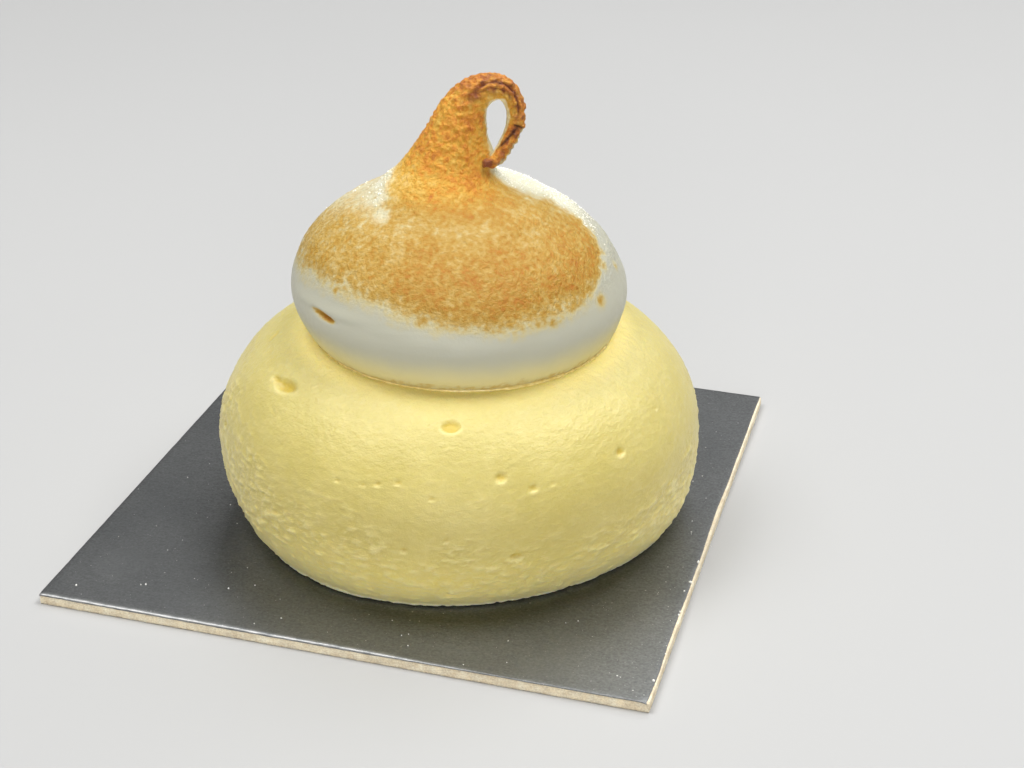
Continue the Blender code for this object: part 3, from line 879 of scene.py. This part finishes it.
def meringue_form():
    """Points, ring sizes, and each point's place along the sections and angle round the sweep."""
    path, place = sweep_path()
    across, beside = lie_frames(path)
    rings, counts, along, around = [], [], [], []

    def add_ring(count, centre, first, second, radius, where):
        angle = np.arange(count) * (2 * math.pi / count)
        ring = centre + radius * (np.outer(np.cos(angle), first) + np.outer(np.sin(angle), second))
        rings.append(ring)
        counts.append(count)
        along.append(np.full(count, where))
        around.append(angle)

    start = np.searchsorted(place, SEAT_PLACE)
    for count, share in SEAT_RINGS:
        add_ring(count, path[start, :3], across[start], beside[start], path[start, 3] * share, 0.0)
    for i in pick_rings(path, place):
        if i > start:
            count = min(int(ring_sides(path[i, 3])), counts[-1])
            add_ring(count, path[i, :3], across[i], beside[i], path[i, 3], place[i])
    ahead = np.cross(across[-1], beside[-1])
    for reach, share in TIP_RINGS:
        centre = path[-1, :3] + ahead * reach
        add_ring(counts[-1], centre, across[-1], beside[-1], path[-1, 3] * share, place[-1])
    ends = [path[start, :3], path[-1, :3] + ahead * TIP_AHEAD]
    points = np.concatenate([*rings, ends])
    along = np.concatenate([*along, [0.0, place[-1]]])
    around = np.concatenate([*around, [0.0, 0.0]])
    points[:, 0] += DOLLOP_LEAN * (np.clip(points[:, 2], LEAN_FROM, LEAN_TO) - LEAN_FROM)
    return points * MM, counts, along, around


def within_half_turn(degrees):
    """The same turns, as numbers from -180 to 180."""
    return (degrees + 180) % 360 - 180


def near_spot(turn, height, spot):
    """How near each point of the dollop is to a spot: its strength at the middle, fading to 0."""
    spot_turn, spot_height, wide, tall, strength = spot
    aside = within_half_turn(turn - spot_turn)
    return strength * np.exp(-((aside / wide) ** 2) - ((height - spot_height) / tall) ** 2)


def near_line(along, angle, line, half_width):
    """1 on a line that runs along the curl, 0 beside it and past its ends."""
    first, last = line[0][0], line[-1][0]
    within = smoothstep(first - 0.25, first + 0.25, along) * smoothstep(last + 0.25, last - 0.25, along)
    return within * np.exp(-(((angle - by_table(along, line)) / half_width) ** 2))


def slit_place():
    """Where the slit lies on the dollop's side, before the dollop is turned, and how it faces."""
    path, _ = sweep_path()
    at = math.radians(SLIT[0]) - PEAK_HEADING
    row = int(np.argmax(path[:, 2] > SLIT[1]))
    rise, growth = path[row + 1, 2] - path[row - 1, 2], path[row + 1, 3] - path[row - 1, 3]
    lean = DOLLOP_LEAN * (SLIT[1] - LEAN_FROM)
    spot = np.array([path[row, 3] * math.cos(at) + lean, path[row, 3] * math.sin(at), SLIT[1]]) * MM
    facing = np.array([math.cos(at) * rise, math.sin(at) * rise, -growth])
    return spot, facing / np.linalg.norm(facing)


def dollop_toast(height, turn, wide_noise, mid_noise, fine_noise):
    """Browning of the dollop below its peak."""
    uneven = 0.7 * wide_noise + 0.55 * mid_noise + 0.45 * fine_noise
    above = height - by_table(turn, EDGE_HEIGHTS) + uneven
    level = height + 0.35 * wide_noise + 0.3 * mid_noise
    toast = np.minimum(by_table(above, TOAST_ABOVE_EDGE), by_table(level, TOAST_BY_HEIGHT))
    toast = toast * by_table(turn, TOAST_BY_TURN)
    ragged = 5 * wide_noise + 4 * mid_noise + 3 * fine_noise
    from_start = turn - by_table(height, WHITE_FROM) + ragged
    # The change from browned to white is wider where the dollop is narrower.
    reach = 9 + 2.6 * np.clip(height - 41, 0, 8)
    from_end = turn - WHITE_TO + ragged
    toast *= 1 - smoothstep(-1, 0.45, from_start / reach) * smoothstep(1, -1, from_end / reach)
    broken_up = np.clip(1.05 + 0.9 * mid_noise + 0.7 * fine_noise, 0, 1)
    for patch in PALE_PATCHES:
        toast *= 1 - near_spot(turn, height, patch) * broken_up
    for spot in DARK_SPOTS:
        toast = np.maximum(toast, near_spot(turn, height, spot))
    return toast


def curl_toast(along, angle, mid_noise, fine_noise):
    """Browning of the peak and the curl."""
    golden = smoothstep(-14, 16, np.abs(angle) - by_table(along, CREAM_WITHIN) + 7 * mid_noise)
    on_curl = smoothstep(10.3, 11.6, along)
    outer = smoothstep(88, 125, np.abs(angle) + 10 * mid_noise)
    full = 0.77 + 0.12 * mid_noise + 0.06 * fine_noise + on_curl * (-0.16 + 0.22 * outer)
    return 0.06 + (full - 0.06) * golden


def make_meringue_finish():
    finish, shader, tree = new_finish(
        "toasted_meringue",
        MERINGUE_WHITE,
        Roughness=0.5,
        Subsurface_Weight=0.3,
        Subsurface_Radius=(1.0, 0.85, 0.6),
        Subsurface_Scale=0.35 * MM,
        Specular_IOR_Level=0.4,
    )
    toast = painted(tree, "toast")
    lift = painted(tree, "lift")
    grains = effect(tree, mottle, Size=0.75 * MM, Contrast=2.6)
    clouds = effect(tree, mottle, Size=2.6 * MM, Contrast=2.2, Seed=5.0)
    # The grains and soft clouds make the browning uneven, most where there is some.
    fine_part = calculate(tree, "MULTIPLY", calculate(tree, "SUBTRACT", grains, 0.5), 0.34)
    uneven = calculate(tree, "MULTIPLY_ADD", calculate(tree, "SUBTRACT", clouds, 0.5), 0.22, fine_part)
    some = calculate(tree, "MINIMUM", calculate(tree, "MULTIPLY", toast, 3.0), 1.0)
    browned = calculate(tree, "MULTIPLY_ADD", uneven, some, toast)
    # The peak is painted lighter: painted light.
    lighter = calculate(tree, "MULTIPLY_ADD", lift, PEAK_LIFT, 1.0)
    baked = {0: colour_ramp(tree, browned, TOAST_COLOURS), "Scale": lighter}
    dried = add_node(tree, "VectorMath", baked, operation="SCALE").outputs[0]
    # Painted highlight: fine specks on the drier peak are painted lighter, as glints where crumbs catch
    # the light.
    sparks = effect(tree, mottle, Size=0.24 * MM, Contrast=5.0, Seed=7.0)
    glints = calculate(tree, "MULTIPLY", calculate(tree, "MULTIPLY", sparks, lift), 0.22)
    colour = blend_colour(tree, glints, dried, MERINGUE_CRUMB)
    for name, tint in MERINGUE_TINTS.items():
        colour = blend_colour(tree, painted(tree, name), colour, tint)
    tree.links.new(colour, shader.inputs["Base Color"])
    dry = calculate(tree, "MULTIPLY_ADD", grains, 0.22, 0.38)
    glazed = calculate(tree, "MULTIPLY_ADD", painted(tree, "brown"), -0.14, dry)
    tree.links.new(glazed, shader.inputs["Roughness"])
    fine = effect(tree, grain, Size=0.36 * MM, Fineness=0.6)
    dry_skin = calculate(tree, "MULTIPLY_ADD", painted(tree, "crust"), 0.92, 0.08)
    crisp = calculate(tree, "MULTIPLY_ADD", lift, 0.55, dry_skin)
    height = calculate(tree, "MULTIPLY", fine, crisp)
    tree.links.new(bump(tree, height, 0.19 * MM), shader.inputs["Normal"])
    return finish


def curl_folds(along, angle, on_run, mid_noise, fine_noise):
    """The folds that run along the curl where the skin dried before it bent, 1 at their bottoms: the
    long one with its fellow on the far side, the inner one, and the one below the kink."""
    wavering = angle + 6 * mid_noise + 4 * fine_noise
    far_fold = 0.8 * near_line(along, angle, FAR_FOLD, 8)
    fold = np.maximum(near_line(along, wavering, FOLD, 7), far_fold) * (1 - on_run)
    inner_angle = angle + 5 * mid_noise + 3 * fine_noise
    inner_fold = near_line(along, inner_angle, INNER_FOLD, 4.5) * (1 - on_run)
    return fold, inner_fold, near_line(along, angle + 6 * fine_noise, RUN_FOLD, 13) * on_run


def make_meringue():
    points, counts, along, around = meringue_form()
    faces = ring_faces(counts)
    normal = facings(points, faces)
    height = points[:, 2] / MM
    turn = within_half_turn(np.degrees(around + PEAK_HEADING))
    angle = within_half_turn(np.degrees(around))
    wide_noise = noise_at(points, 3.0 * MM, 21.0)
    mid_noise = noise_at(points, 1.2 * MM, 22.0)
    fine_noise = noise_at(points, 0.5 * MM, 23.0)

    # Parts of the dollop, from 0 off them to 1 on them.
    on_peak = smoothstep(7.0, 8.4, along)
    on_curl = smoothstep(10.2, 11.4, along)
    kink_at = by_table(angle, KINK)
    on_run = smoothstep(-0.06, 0.06, along - kink_at)
    tip = smoothstep(17.0, 17.5, along)
    outer = smoothstep(60, 100, np.abs(angle))
    # The inner side of the curl, which stayed cream and where a warm glow is painted on: painted light.
    inside = smoothstep(4, -10, np.abs(angle) - by_table(along, CREAM_WITHIN))
    inside = inside * smoothstep(7.8, 9.0, along)
    edge_above = height - by_table(turn, EDGE_HEIGHTS)
    crust = np.maximum(smoothstep(-1.5, 2.0, edge_above), on_peak) * (along > 2)
    fold, inner_fold, run_fold = curl_folds(along, angle, on_run, mid_noise, fine_noise)
    kink = np.exp(-(((along - kink_at) / 0.05) ** 2)) * smoothstep(-72, -98, angle)

    toast = dollop_toast(height, turn, wide_noise, mid_noise, fine_noise)
    toast += (curl_toast(along, angle, mid_noise, fine_noise) - toast) * smoothstep(7.2, 8.4, along)
    # The run below the kink is browned in front, and pale along its two edges.
    wavering = angle + 8 * fine_noise
    front = smoothstep(-28, -52, wavering) * smoothstep(-158, -132, wavering)
    toast += (0.1 + (0.8 + 0.15 * mid_noise) * front - toast) * on_run
    toast += (0.85 - toast) * tip

    # The crust is wrinkled and lumpy, and smoother where the curl's inside stayed soft.
    wrinkles = 1 - 2.2 * np.abs(noise_at(points + 0.25 * MM * mid_noise[:, None], 0.52 * MM, 31.0))
    blobs = noise_at(points, 0.65 * MM, 33.0)
    crinkles = noise_at(points, 0.75 * MM, 41.0)
    high = smoothstep(49, 54, height)
    relief = crust * (0.012 * wrinkles + 0.04 * blobs + 0.07 * fine_noise)
    relief += on_peak * (0.035 + 0.045 * high) * (0.6 * wrinkles + blobs + 1.6 * fine_noise)
    relief *= 1 - 0.85 * inside
    glossy = smoothstep(9.4, 10.2, along) * smoothstep(12.0, 11.0, along) * smoothstep(-70, -105, angle)
    relief += glossy * (0.10 * blobs + 0.10 * noise_at(points, 1.3 * MM, 35.0))
    relief += on_curl * outer * (0.15 * crinkles + 0.08 * fine_noise)
    relief += crust * (1 - on_peak) * 0.10 * wide_noise
    relief -= FOLD_DEPTH * fold + INNER_FOLD_DEPTH * inner_fold
    relief -= RUN_FOLD_DEPTH * run_fold + KINK_DEPTH * kink
    # A ridge stands beside the long fold, and a lip over the kink.
    relief += 0.10 * near_line(along, angle + 16, FOLD, 9) * (1 - on_run)
    relief += 0.12 * smoothstep(14.2, 14.7, along) * (1 - on_run) * smoothstep(-60, -100, angle)
    # The cone spreads where the curl's end stuck to it.
    relief += 0.55 * np.exp(-(((height - 51.0) / 1.5) ** 2) - (angle / 45) ** 2) * (along < 10)

    # The flame browned the outside of the curl most. The folds' bottoms, the kink and the hollows of
    # the crinkles are painted darker as well: painted shade in the creases.
    brown = 0.75 * fold * smoothstep(10.7, 11.8, along) + 0.4 * inner_fold + 0.5 * run_fold
    caught = 0.22 + 0.5 * smoothstep(0.05, 0.4, -crinkles) + 0.25 * smoothstep(0.15, 0.5, mid_noise)
    brown += on_curl * outer * caught
    brown += 0.4 * on_run * front * smoothstep(0.0, 0.5, blobs)
    brown += 0.55 * smoothstep(17.3, 17.9, along)
    # Near-black at the folds' bottoms, the kink and the run's fold is painted shade; the scorched specks
    # are burnt.
    burn = 0.35 * fold * smoothstep(11.8, 12.6, along) + 0.95 * kink + 0.75 * run_fold
    scorched = smoothstep(0.42, 0.6, fine_noise) * smoothstep(115, 140, np.abs(angle))
    burn += 0.55 * on_curl * (1 - on_run) * scorched

    # Syrup has stained the edge that sits on the mousse.
    stained = smoothstep(28.5, 27.7, height + 0.7 * mid_noise + 0.5 * fine_noise) * (along < 3)
    toast = np.maximum(toast, 0.36 * stained)

    spot, facing = slit_place()
    slit = pit_floor(points, spot, facing, (SLIT[2], SLIT[3], SLIT[5], SLIT[6])) * (along < 5)
    relief -= SLIT[4] * slit
    toast = np.maximum(toast, 0.72 * smoothstep(0.12, 0.6, slit))
    # A soft fold runs on from the slit, the upper lobe standing a little over the lower.
    beyond = smoothstep(-150, -138, turn) * smoothstep(-102, -116, turn)
    crease = height - CREASE_HEIGHT - 0.5 * np.sin(np.radians(turn + 125) * 3)
    relief += 0.14 * beyond * np.exp(-((crease - 0.7) ** 2) / 0.5)
    relief -= 0.07 * beyond * np.exp(-(crease**2) / 0.10)
    # Below the crust the nozzle left faint lines round the dollop.
    drawn = noise_at(points, (7 * MM, 7 * MM, 0.45 * MM), 51.0)
    relief += (1 - crust) * (0.05 * wide_noise + 0.014 * drawn)

    # The dollop is turned to its heading and set down on the crown.
    points = points + normal * (relief * MM)[:, None]
    turned = np.array(Matrix.Rotation(PEAK_HEADING, 3, "Z")).T
    points = points @ turned + (*DOLLOP_AT, 0.0)
    seat = crown_height(np.hypot(*(points[:, :2] - CUSHION_AT).T))
    points[:, 2] = np.where(along < 3, np.maximum(points[:, 2], seat), points[:, 2]) + CARD_THICK
    # Painted light: the dollop's foot is tinted cream-yellow, as lit by light bounced up from the mousse.
    low_cream = smoothstep(32.5, 28.5, height + 0.4 * wide_noise) * (0.8 - 0.45 * stained)
    on_top = smoothstep(40, 44, height + 0.5 * wide_noise)
    untoasted = np.clip(1 - 2.5 * toast, 0, 1)
    meringue = mesh_piece("meringue_dollop", points, faces, make_meringue_finish())
    paint(
        meringue,
        toast=toast,
        # Where the peak is painted lighter: painted light.
        lift=smoothstep(45.8, 49.0, height),
        # Near the mousse, painted bounce light; on the run, the cream that the flame missed.
        cream=np.maximum(low_cream, on_run * untoasted),
        # The top of the white is painted lighter: painted light.
        bright=on_top * (1 - on_run) * untoasted,
        # A painted glow inside the curl: painted light.
        glow=0.85 * inside * (1 - tip),
        # Browning and burn, with painted shade in the curl's creases.
        brown=brown,
        burn=burn,
        crust=crust,
    )
    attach(meringue, "root")
    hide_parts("meringue")
    return points, normal @ turned, along, height, toast


dollop_surface = make_meringue()

# ---- meringue crumbs -------------------------------------------------------------------------
# Where the crust dried it broke up into tiny crumbs of meringue that still stick to it. They make
# the shoulder's outline rough, most where it stayed white.

CRUMB_COUNT = 1300
CRUMB_RADII = (0.06 * MM, 0.15 * MM)
CRUMB_WHITE = (0.97, 0.94, 0.84)


def icosahedron():
    """Corners and outward triangles of an icosahedron of radius 1."""
    golden = (1 + 5**0.5) / 2
    corners = np.array([(0, a, b * golden) for a in (-1, 1) for b in (-1, 1)])
    corners = np.concatenate([corners, corners[:, [2, 0, 1]], corners[:, [1, 2, 0]]])
    corners = corners / math.hypot(1, golden)
    side = min(np.linalg.norm(corners[0] - corner) for corner in corners[1:]) * 1.01
    near = [[np.linalg.norm(a - b) < side for b in corners] for a in corners]
    faces = []
    for a in range(12):
        for b in range(a + 1, 12):
            for c in range(b + 1, 12):
                if near[a][b] and near[b][c] and near[a][c]:
                    out = np.cross(corners[b] - corners[a], corners[c] - corners[a]) @ corners[a] > 0
                    faces.append((a, b, c) if out else (a, c, b))
    return corners, np.array(faces)


def bits_piece(name, places, radii, draw, finish):
    """One piece of many small uneven bits, one at each place."""
    corners, shell = icosahedron()
    points, faces = [], []
    for i, (place, radius) in enumerate(zip(places, radii)):
        shape = corners * draw.uniform(0.7, 1.2, (12, 1)) * draw.uniform(0.6, 1.2, 3)
        points.append(shape * radius + place)
        faces.append(shell + 12 * i)
    return mesh_piece(name, np.concatenate(points), np.concatenate(faces).tolist(), finish)


def make_crumbs(surface):
    points, normal, along, height, toast = surface
    finish, _, _ = new_finish("meringue_crumb", CRUMB_WHITE, Roughness=0.7)
    draw = np.random.default_rng(21)
    on_shoulder = smoothstep(39.0, 42.5, height) * (along > 4) * (along < 8.0)
    likely = on_shoulder * np.clip(1 - 3.5 * toast, 0, 1)
    chosen = draw.choice(len(points), CRUMB_COUNT, replace=False, p=likely / likely.sum())
    radii = CRUMB_RADII[0] + (CRUMB_RADII[1] - CRUMB_RADII[0]) * draw.random(CRUMB_COUNT) ** 2.5
    places = points[chosen] + normal[chosen] * (radii * 0.3)[:, None]
    crumbs = bits_piece("meringue_crumbs", places, radii, draw, finish)
    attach(crumbs, "root")


make_crumbs(dollop_surface)

# ---- contact syrup ---------------------------------------------------------------------------
# Meringue weeps a little sugar syrup where it sits on the mousse. It has gathered in the corner
# between the two as a thin amber line, thicker here and there.

SYRUP_POINTS = 1000
SYRUP_SIDES = 10
SYRUP_REACH = 19.76 * MM  # out from the dollop's middle
SYRUP_LIFT = 0.12 * MM  # up from the crown
SYRUP_RADII = (0.18 * MM, 0.32 * MM)  # of the bead's section, where it is thin and thick
SYRUP_PALE = (0.98, 0.83, 0.36)
SYRUP_AMBER = (0.82, 0.60, 0.17)


def make_syrup():
    finish, shader, tree = new_finish("amber_syrup", SYRUP_PALE, Roughness=0.18, Coat_Weight=0.4)
    patches = effect(tree, mottle, Size=0.8 * MM, Contrast=2.5)
    tree.links.new(blend_colour(tree, patches, SYRUP_PALE, SYRUP_AMBER), shader.inputs["Base Color"])
    turn = np.arange(SYRUP_POINTS) * (2 * math.pi / SYRUP_POINTS)
    outwards = np.stack([np.cos(turn), np.sin(turn)], 1)
    middle = DOLLOP_AT + SYRUP_REACH * outwards
    level = crown_height(np.hypot(*(middle - CUSHION_AT).T)) + CARD_THICK + SYRUP_LIFT
    ring = np.stack([*middle.T, level], 1)
    swelling = smoothstep(-0.25, 0.6, noise_at(ring, 2.2 * MM, 2.0) + 0.6 * noise_at(ring, 0.6 * MM, 6.0))
    bead = SYRUP_RADII[0] + (SYRUP_RADII[1] - SYRUP_RADII[0]) * swelling
    strands = []
    for angle in np.arange(SYRUP_SIDES) * (2 * math.pi / SYRUP_SIDES):
        out = outwards * (bead * math.cos(angle))[:, None]
        strands.append(np.stack([*(middle + out).T, level + bead * math.sin(angle)], 1))
    here = np.arange(SYRUP_POINTS)
    faces = []
    for side in range(SYRUP_SIDES):
        a, b = side * SYRUP_POINTS + here, (side + 1) % SYRUP_SIDES * SYRUP_POINTS + here
        faces += np.stack([a, np.roll(a, -1), np.roll(b, -1), b], 1).tolist()
    syrup = mesh_piece("contact_syrup", np.concatenate(strands), faces, finish)
    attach(syrup, "root")


make_syrup()

# ---- dust and fluff --------------------------------------------------------------------------
# What a card picks up on the counter: specks of sugar and dust on the film, and paper fluff that
# the blade pulled out of the board's edges.

DUST_COUNT = 210
DUST_RADII = (0.035 * MM, 0.12 * MM)
DUST_WITHIN = 39.5  # how far out from the card's middle the specks lie at most, in millimetres
DUST_CLEAR = 31 * MM  # how far from the cushion's middle they lie at least
SUGAR_WHITE = (0.85, 0.84, 0.80)
# The larger specks, most of them at the card's edge: x, y and radius, in millimetres.
BIG_DUST = (
    (-27.8, -34.2, 0.16),
    (-28.4, -34.4, 0.12),
    (-17.2, -32.0, 0.14),
    (-8.2, -36.2, 0.12),
    (-36.3, -36.9, 0.14),
    (39.6, -8.6, 0.20),
    (39.6, -13.6, 0.24),
    (39.2, -15.8, 0.14),
    (39.6, -20.5, 0.14),
    (39.6, -21.3, 0.20),
    (39.7, -29.9, 0.14),
    (39.5, -35.7, 0.18),
)
FLUFF_COUNT = 150
# The fibres' lengths, thicknesses and heights over the card's underside, in millimetres.
FLUFF_LENGTHS = (0.12, 0.5)
FLUFF_THICKS = (0.012, 0.026)
FLUFF_HEIGHTS = (0.2, 1.42)
FLUFF_ALONG = 39  # how far from the middle of an edge they are found
FLUFF_ROOT = 0.05 * MM  # how deep in the edge each starts
FLUFF_STEPS = 5
FLUFF_TAPER = 0.6
FLUFF_COLOUR = (0.82, 0.77, 0.67)


def make_dust():
    finish, _, _ = new_finish("sugar_dust", SUGAR_WHITE, Roughness=0.7)
    draw = np.random.default_rng(3)
    places = [(x * MM, y * MM, radius * MM) for x, y, radius in BIG_DUST]
    while len(places) < DUST_COUNT:
        x, y = draw.uniform(-DUST_WITHIN, DUST_WITHIN, 2) * MM
        radius = DUST_RADII[0] + (DUST_RADII[1] - DUST_RADII[0]) * draw.random() ** 3
        if math.hypot(x - CUSHION_AT[0], y - CUSHION_AT[1]) > DUST_CLEAR:
            places.append((x, y, radius))
    x, y, radii = np.array(places).T
    dust = bits_piece("card_dust", np.stack([x, y, CARD_THICK + radii * 0.4], 1), radii, draw, finish)
    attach(dust, "root")


def make_fibre(place, direction, length, thick, draw):
    """Points and faces of one bent tapering fibre of three sides."""
    points, faces = [], []
    for step in range(FLUFF_STEPS + 1):
        direction = direction / np.linalg.norm(direction)
        aside = np.cross(direction, (0.3, 0.2, 0.9))
        aside /= np.linalg.norm(aside)
        above = np.cross(direction, aside)
        for angle in (0.0, 2.1, 4.2):
            offset = math.cos(angle) * aside + math.sin(angle) * above
            points.append(place + thick * (1 - FLUFF_TAPER * step / FLUFF_STEPS) * offset)
        place = place + direction * length / FLUFF_STEPS
        direction = direction + draw.uniform(-0.45, 0.45, 3)
    last = 3 * FLUFF_STEPS
    for low in range(0, last, 3):
        for side in range(3):
            a, b = low + side, low + (side + 1) % 3
            faces.append((a, b, b + 3, a + 3))
    return points, faces + [(2, 1, 0), (last, last + 1, last + 2)]


def make_fluff():
    finish, _, _ = new_finish("paper_fluff", FLUFF_COLOUR, Roughness=0.9)
    draw = np.random.default_rng(12)
    points, faces = [], []
    for i in range(FLUFF_COUNT):
        turn = i % 4 * math.pi / 2
        out = np.array([math.cos(turn), math.sin(turn), 0.0]).round()
        run = np.array([-out[1], out[0], 0.0])
        place = out * (CARD_HALF - FLUFF_ROOT) + run * draw.uniform(-FLUFF_ALONG, FLUFF_ALONG) * MM
        place = place + (0, 0, draw.uniform(*FLUFF_HEIGHTS) * MM)
        direction = out * 0.6 + run * draw.uniform(-1, 1) + (0, 0, draw.uniform(-0.2, 0.5))
        length = draw.uniform(*FLUFF_LENGTHS) * MM
        thick = draw.uniform(*FLUFF_THICKS) * MM
        fibre_points, fibre_faces = make_fibre(place, direction, length, thick, draw)
        faces += [tuple(len(points) + index for index in face) for face in fibre_faces]
        points += fibre_points
    fluff = mesh_piece("board_fluff", np.array(points), faces, finish)
    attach(fluff, "root")


make_dust()
make_fluff()

# ---- studio ----------------------------------------------------------------------------------
# A plain pale floor and soft lights: two high up at the sides, two behind and a low one in front.
# The camera looks down from a little above, as one sees a cake on a counter.

FLOOR_HALF = 3.0
FLOOR_DROP = 0.02 * MM  # how far it lies below the card
FLOOR_COLOUR = (0.40, 0.40, 0.396)
FLOOR_PALER = (0.42, 0.42, 0.416)
VIEW_TURN = math.radians(15.94)
VIEW_DOWN = math.radians(27.742)
VIEW_ROLL = math.radians(0.376)
CAMERA_AT = (73.38 * MM, -216.93 * MM, 138.17 * MM)
LENS = 66.36
LIGHT_DISTANCE = 0.8
LIGHT_AIM = Vector((0, 0, 0.03))
# The lights: turn from the camera's side, height over the floor, both in degrees, side and watts.
LIGHTS = {
    "right": (90, 65, 0.40, 5.35),
    "left": (270, 65, 0.40, 5.35),
    "front": (0, 12, 0.40, 3.0),
    "right_back": (135, 35, 0.40, 1.0),
    "back": (168, 56, 0.40, 1.9),
}
SURROUND = 0.03


def make_floor():
    finish, shader, tree = new_finish("pale_floor", FLOOR_COLOUR, Roughness=0.65)
    soft = effect(tree, mottle, Size=120 * MM, Contrast=0.8)
    tree.links.new(blend_colour(tree, soft, FLOOR_COLOUR, FLOOR_PALER), shader.inputs["Base Color"])
    corners = [(x * FLOOR_HALF, y * FLOOR_HALF, 0) for x, y in ((-1, -1), (1, -1), (1, 1), (-1, 1))]
    floor = mesh_piece("floor", corners, [(0, 1, 2, 3)], finish)
    floor.location.z = -FLOOR_DROP


def add_light(name, turn, lift, side, power):
    """A square soft light that shines at the cake."""
    data = bpy.data.lights.new(name, "AREA")
    data.size = side
    data.energy = power
    light = bpy.data.objects.new(name, data)
    bpy.context.scene.collection.objects.link(light)
    away = Matrix.Rotation(VIEW_TURN + math.radians(turn), 3, "Z") @ Vector((0, -1, 0))
    lift = math.radians(lift)
    away = away * math.cos(lift) + Vector((0, 0, math.sin(lift)))
    light.location = LIGHT_AIM + away * LIGHT_DISTANCE
    light.rotation_euler = away.to_track_quat("Z", "Y").to_euler()


def make_studio():
    make_floor()
    for name, settings in LIGHTS.items():
        add_light(name, *settings)
    world = bpy.data.worlds.new("studio")
    world.use_nodes = True
    world.node_tree.nodes["Background"].inputs["Color"].default_value = (1.0, 1.0, 1.0, 1.0)
    world.node_tree.nodes["Background"].inputs["Strength"].default_value = SURROUND
    bpy.context.scene.world = world
    bpy.context.scene.view_settings.view_transform = "Standard"
    lens = bpy.data.cameras.new("view")
    lens.lens = LENS
    lens.clip_start = 0.01
    camera = bpy.data.objects.new("view", lens)
    turned = Matrix.Rotation(VIEW_TURN, 4, "Z") @ Matrix.Rotation(math.pi / 2 - VIEW_DOWN, 4, "X")
    camera.matrix_world = Matrix.Translation(CAMERA_AT) @ turned @ Matrix.Rotation(VIEW_ROLL, 4, "Z")
    bpy.context.scene.collection.objects.link(camera)
    bpy.context.scene.camera = camera


make_studio()
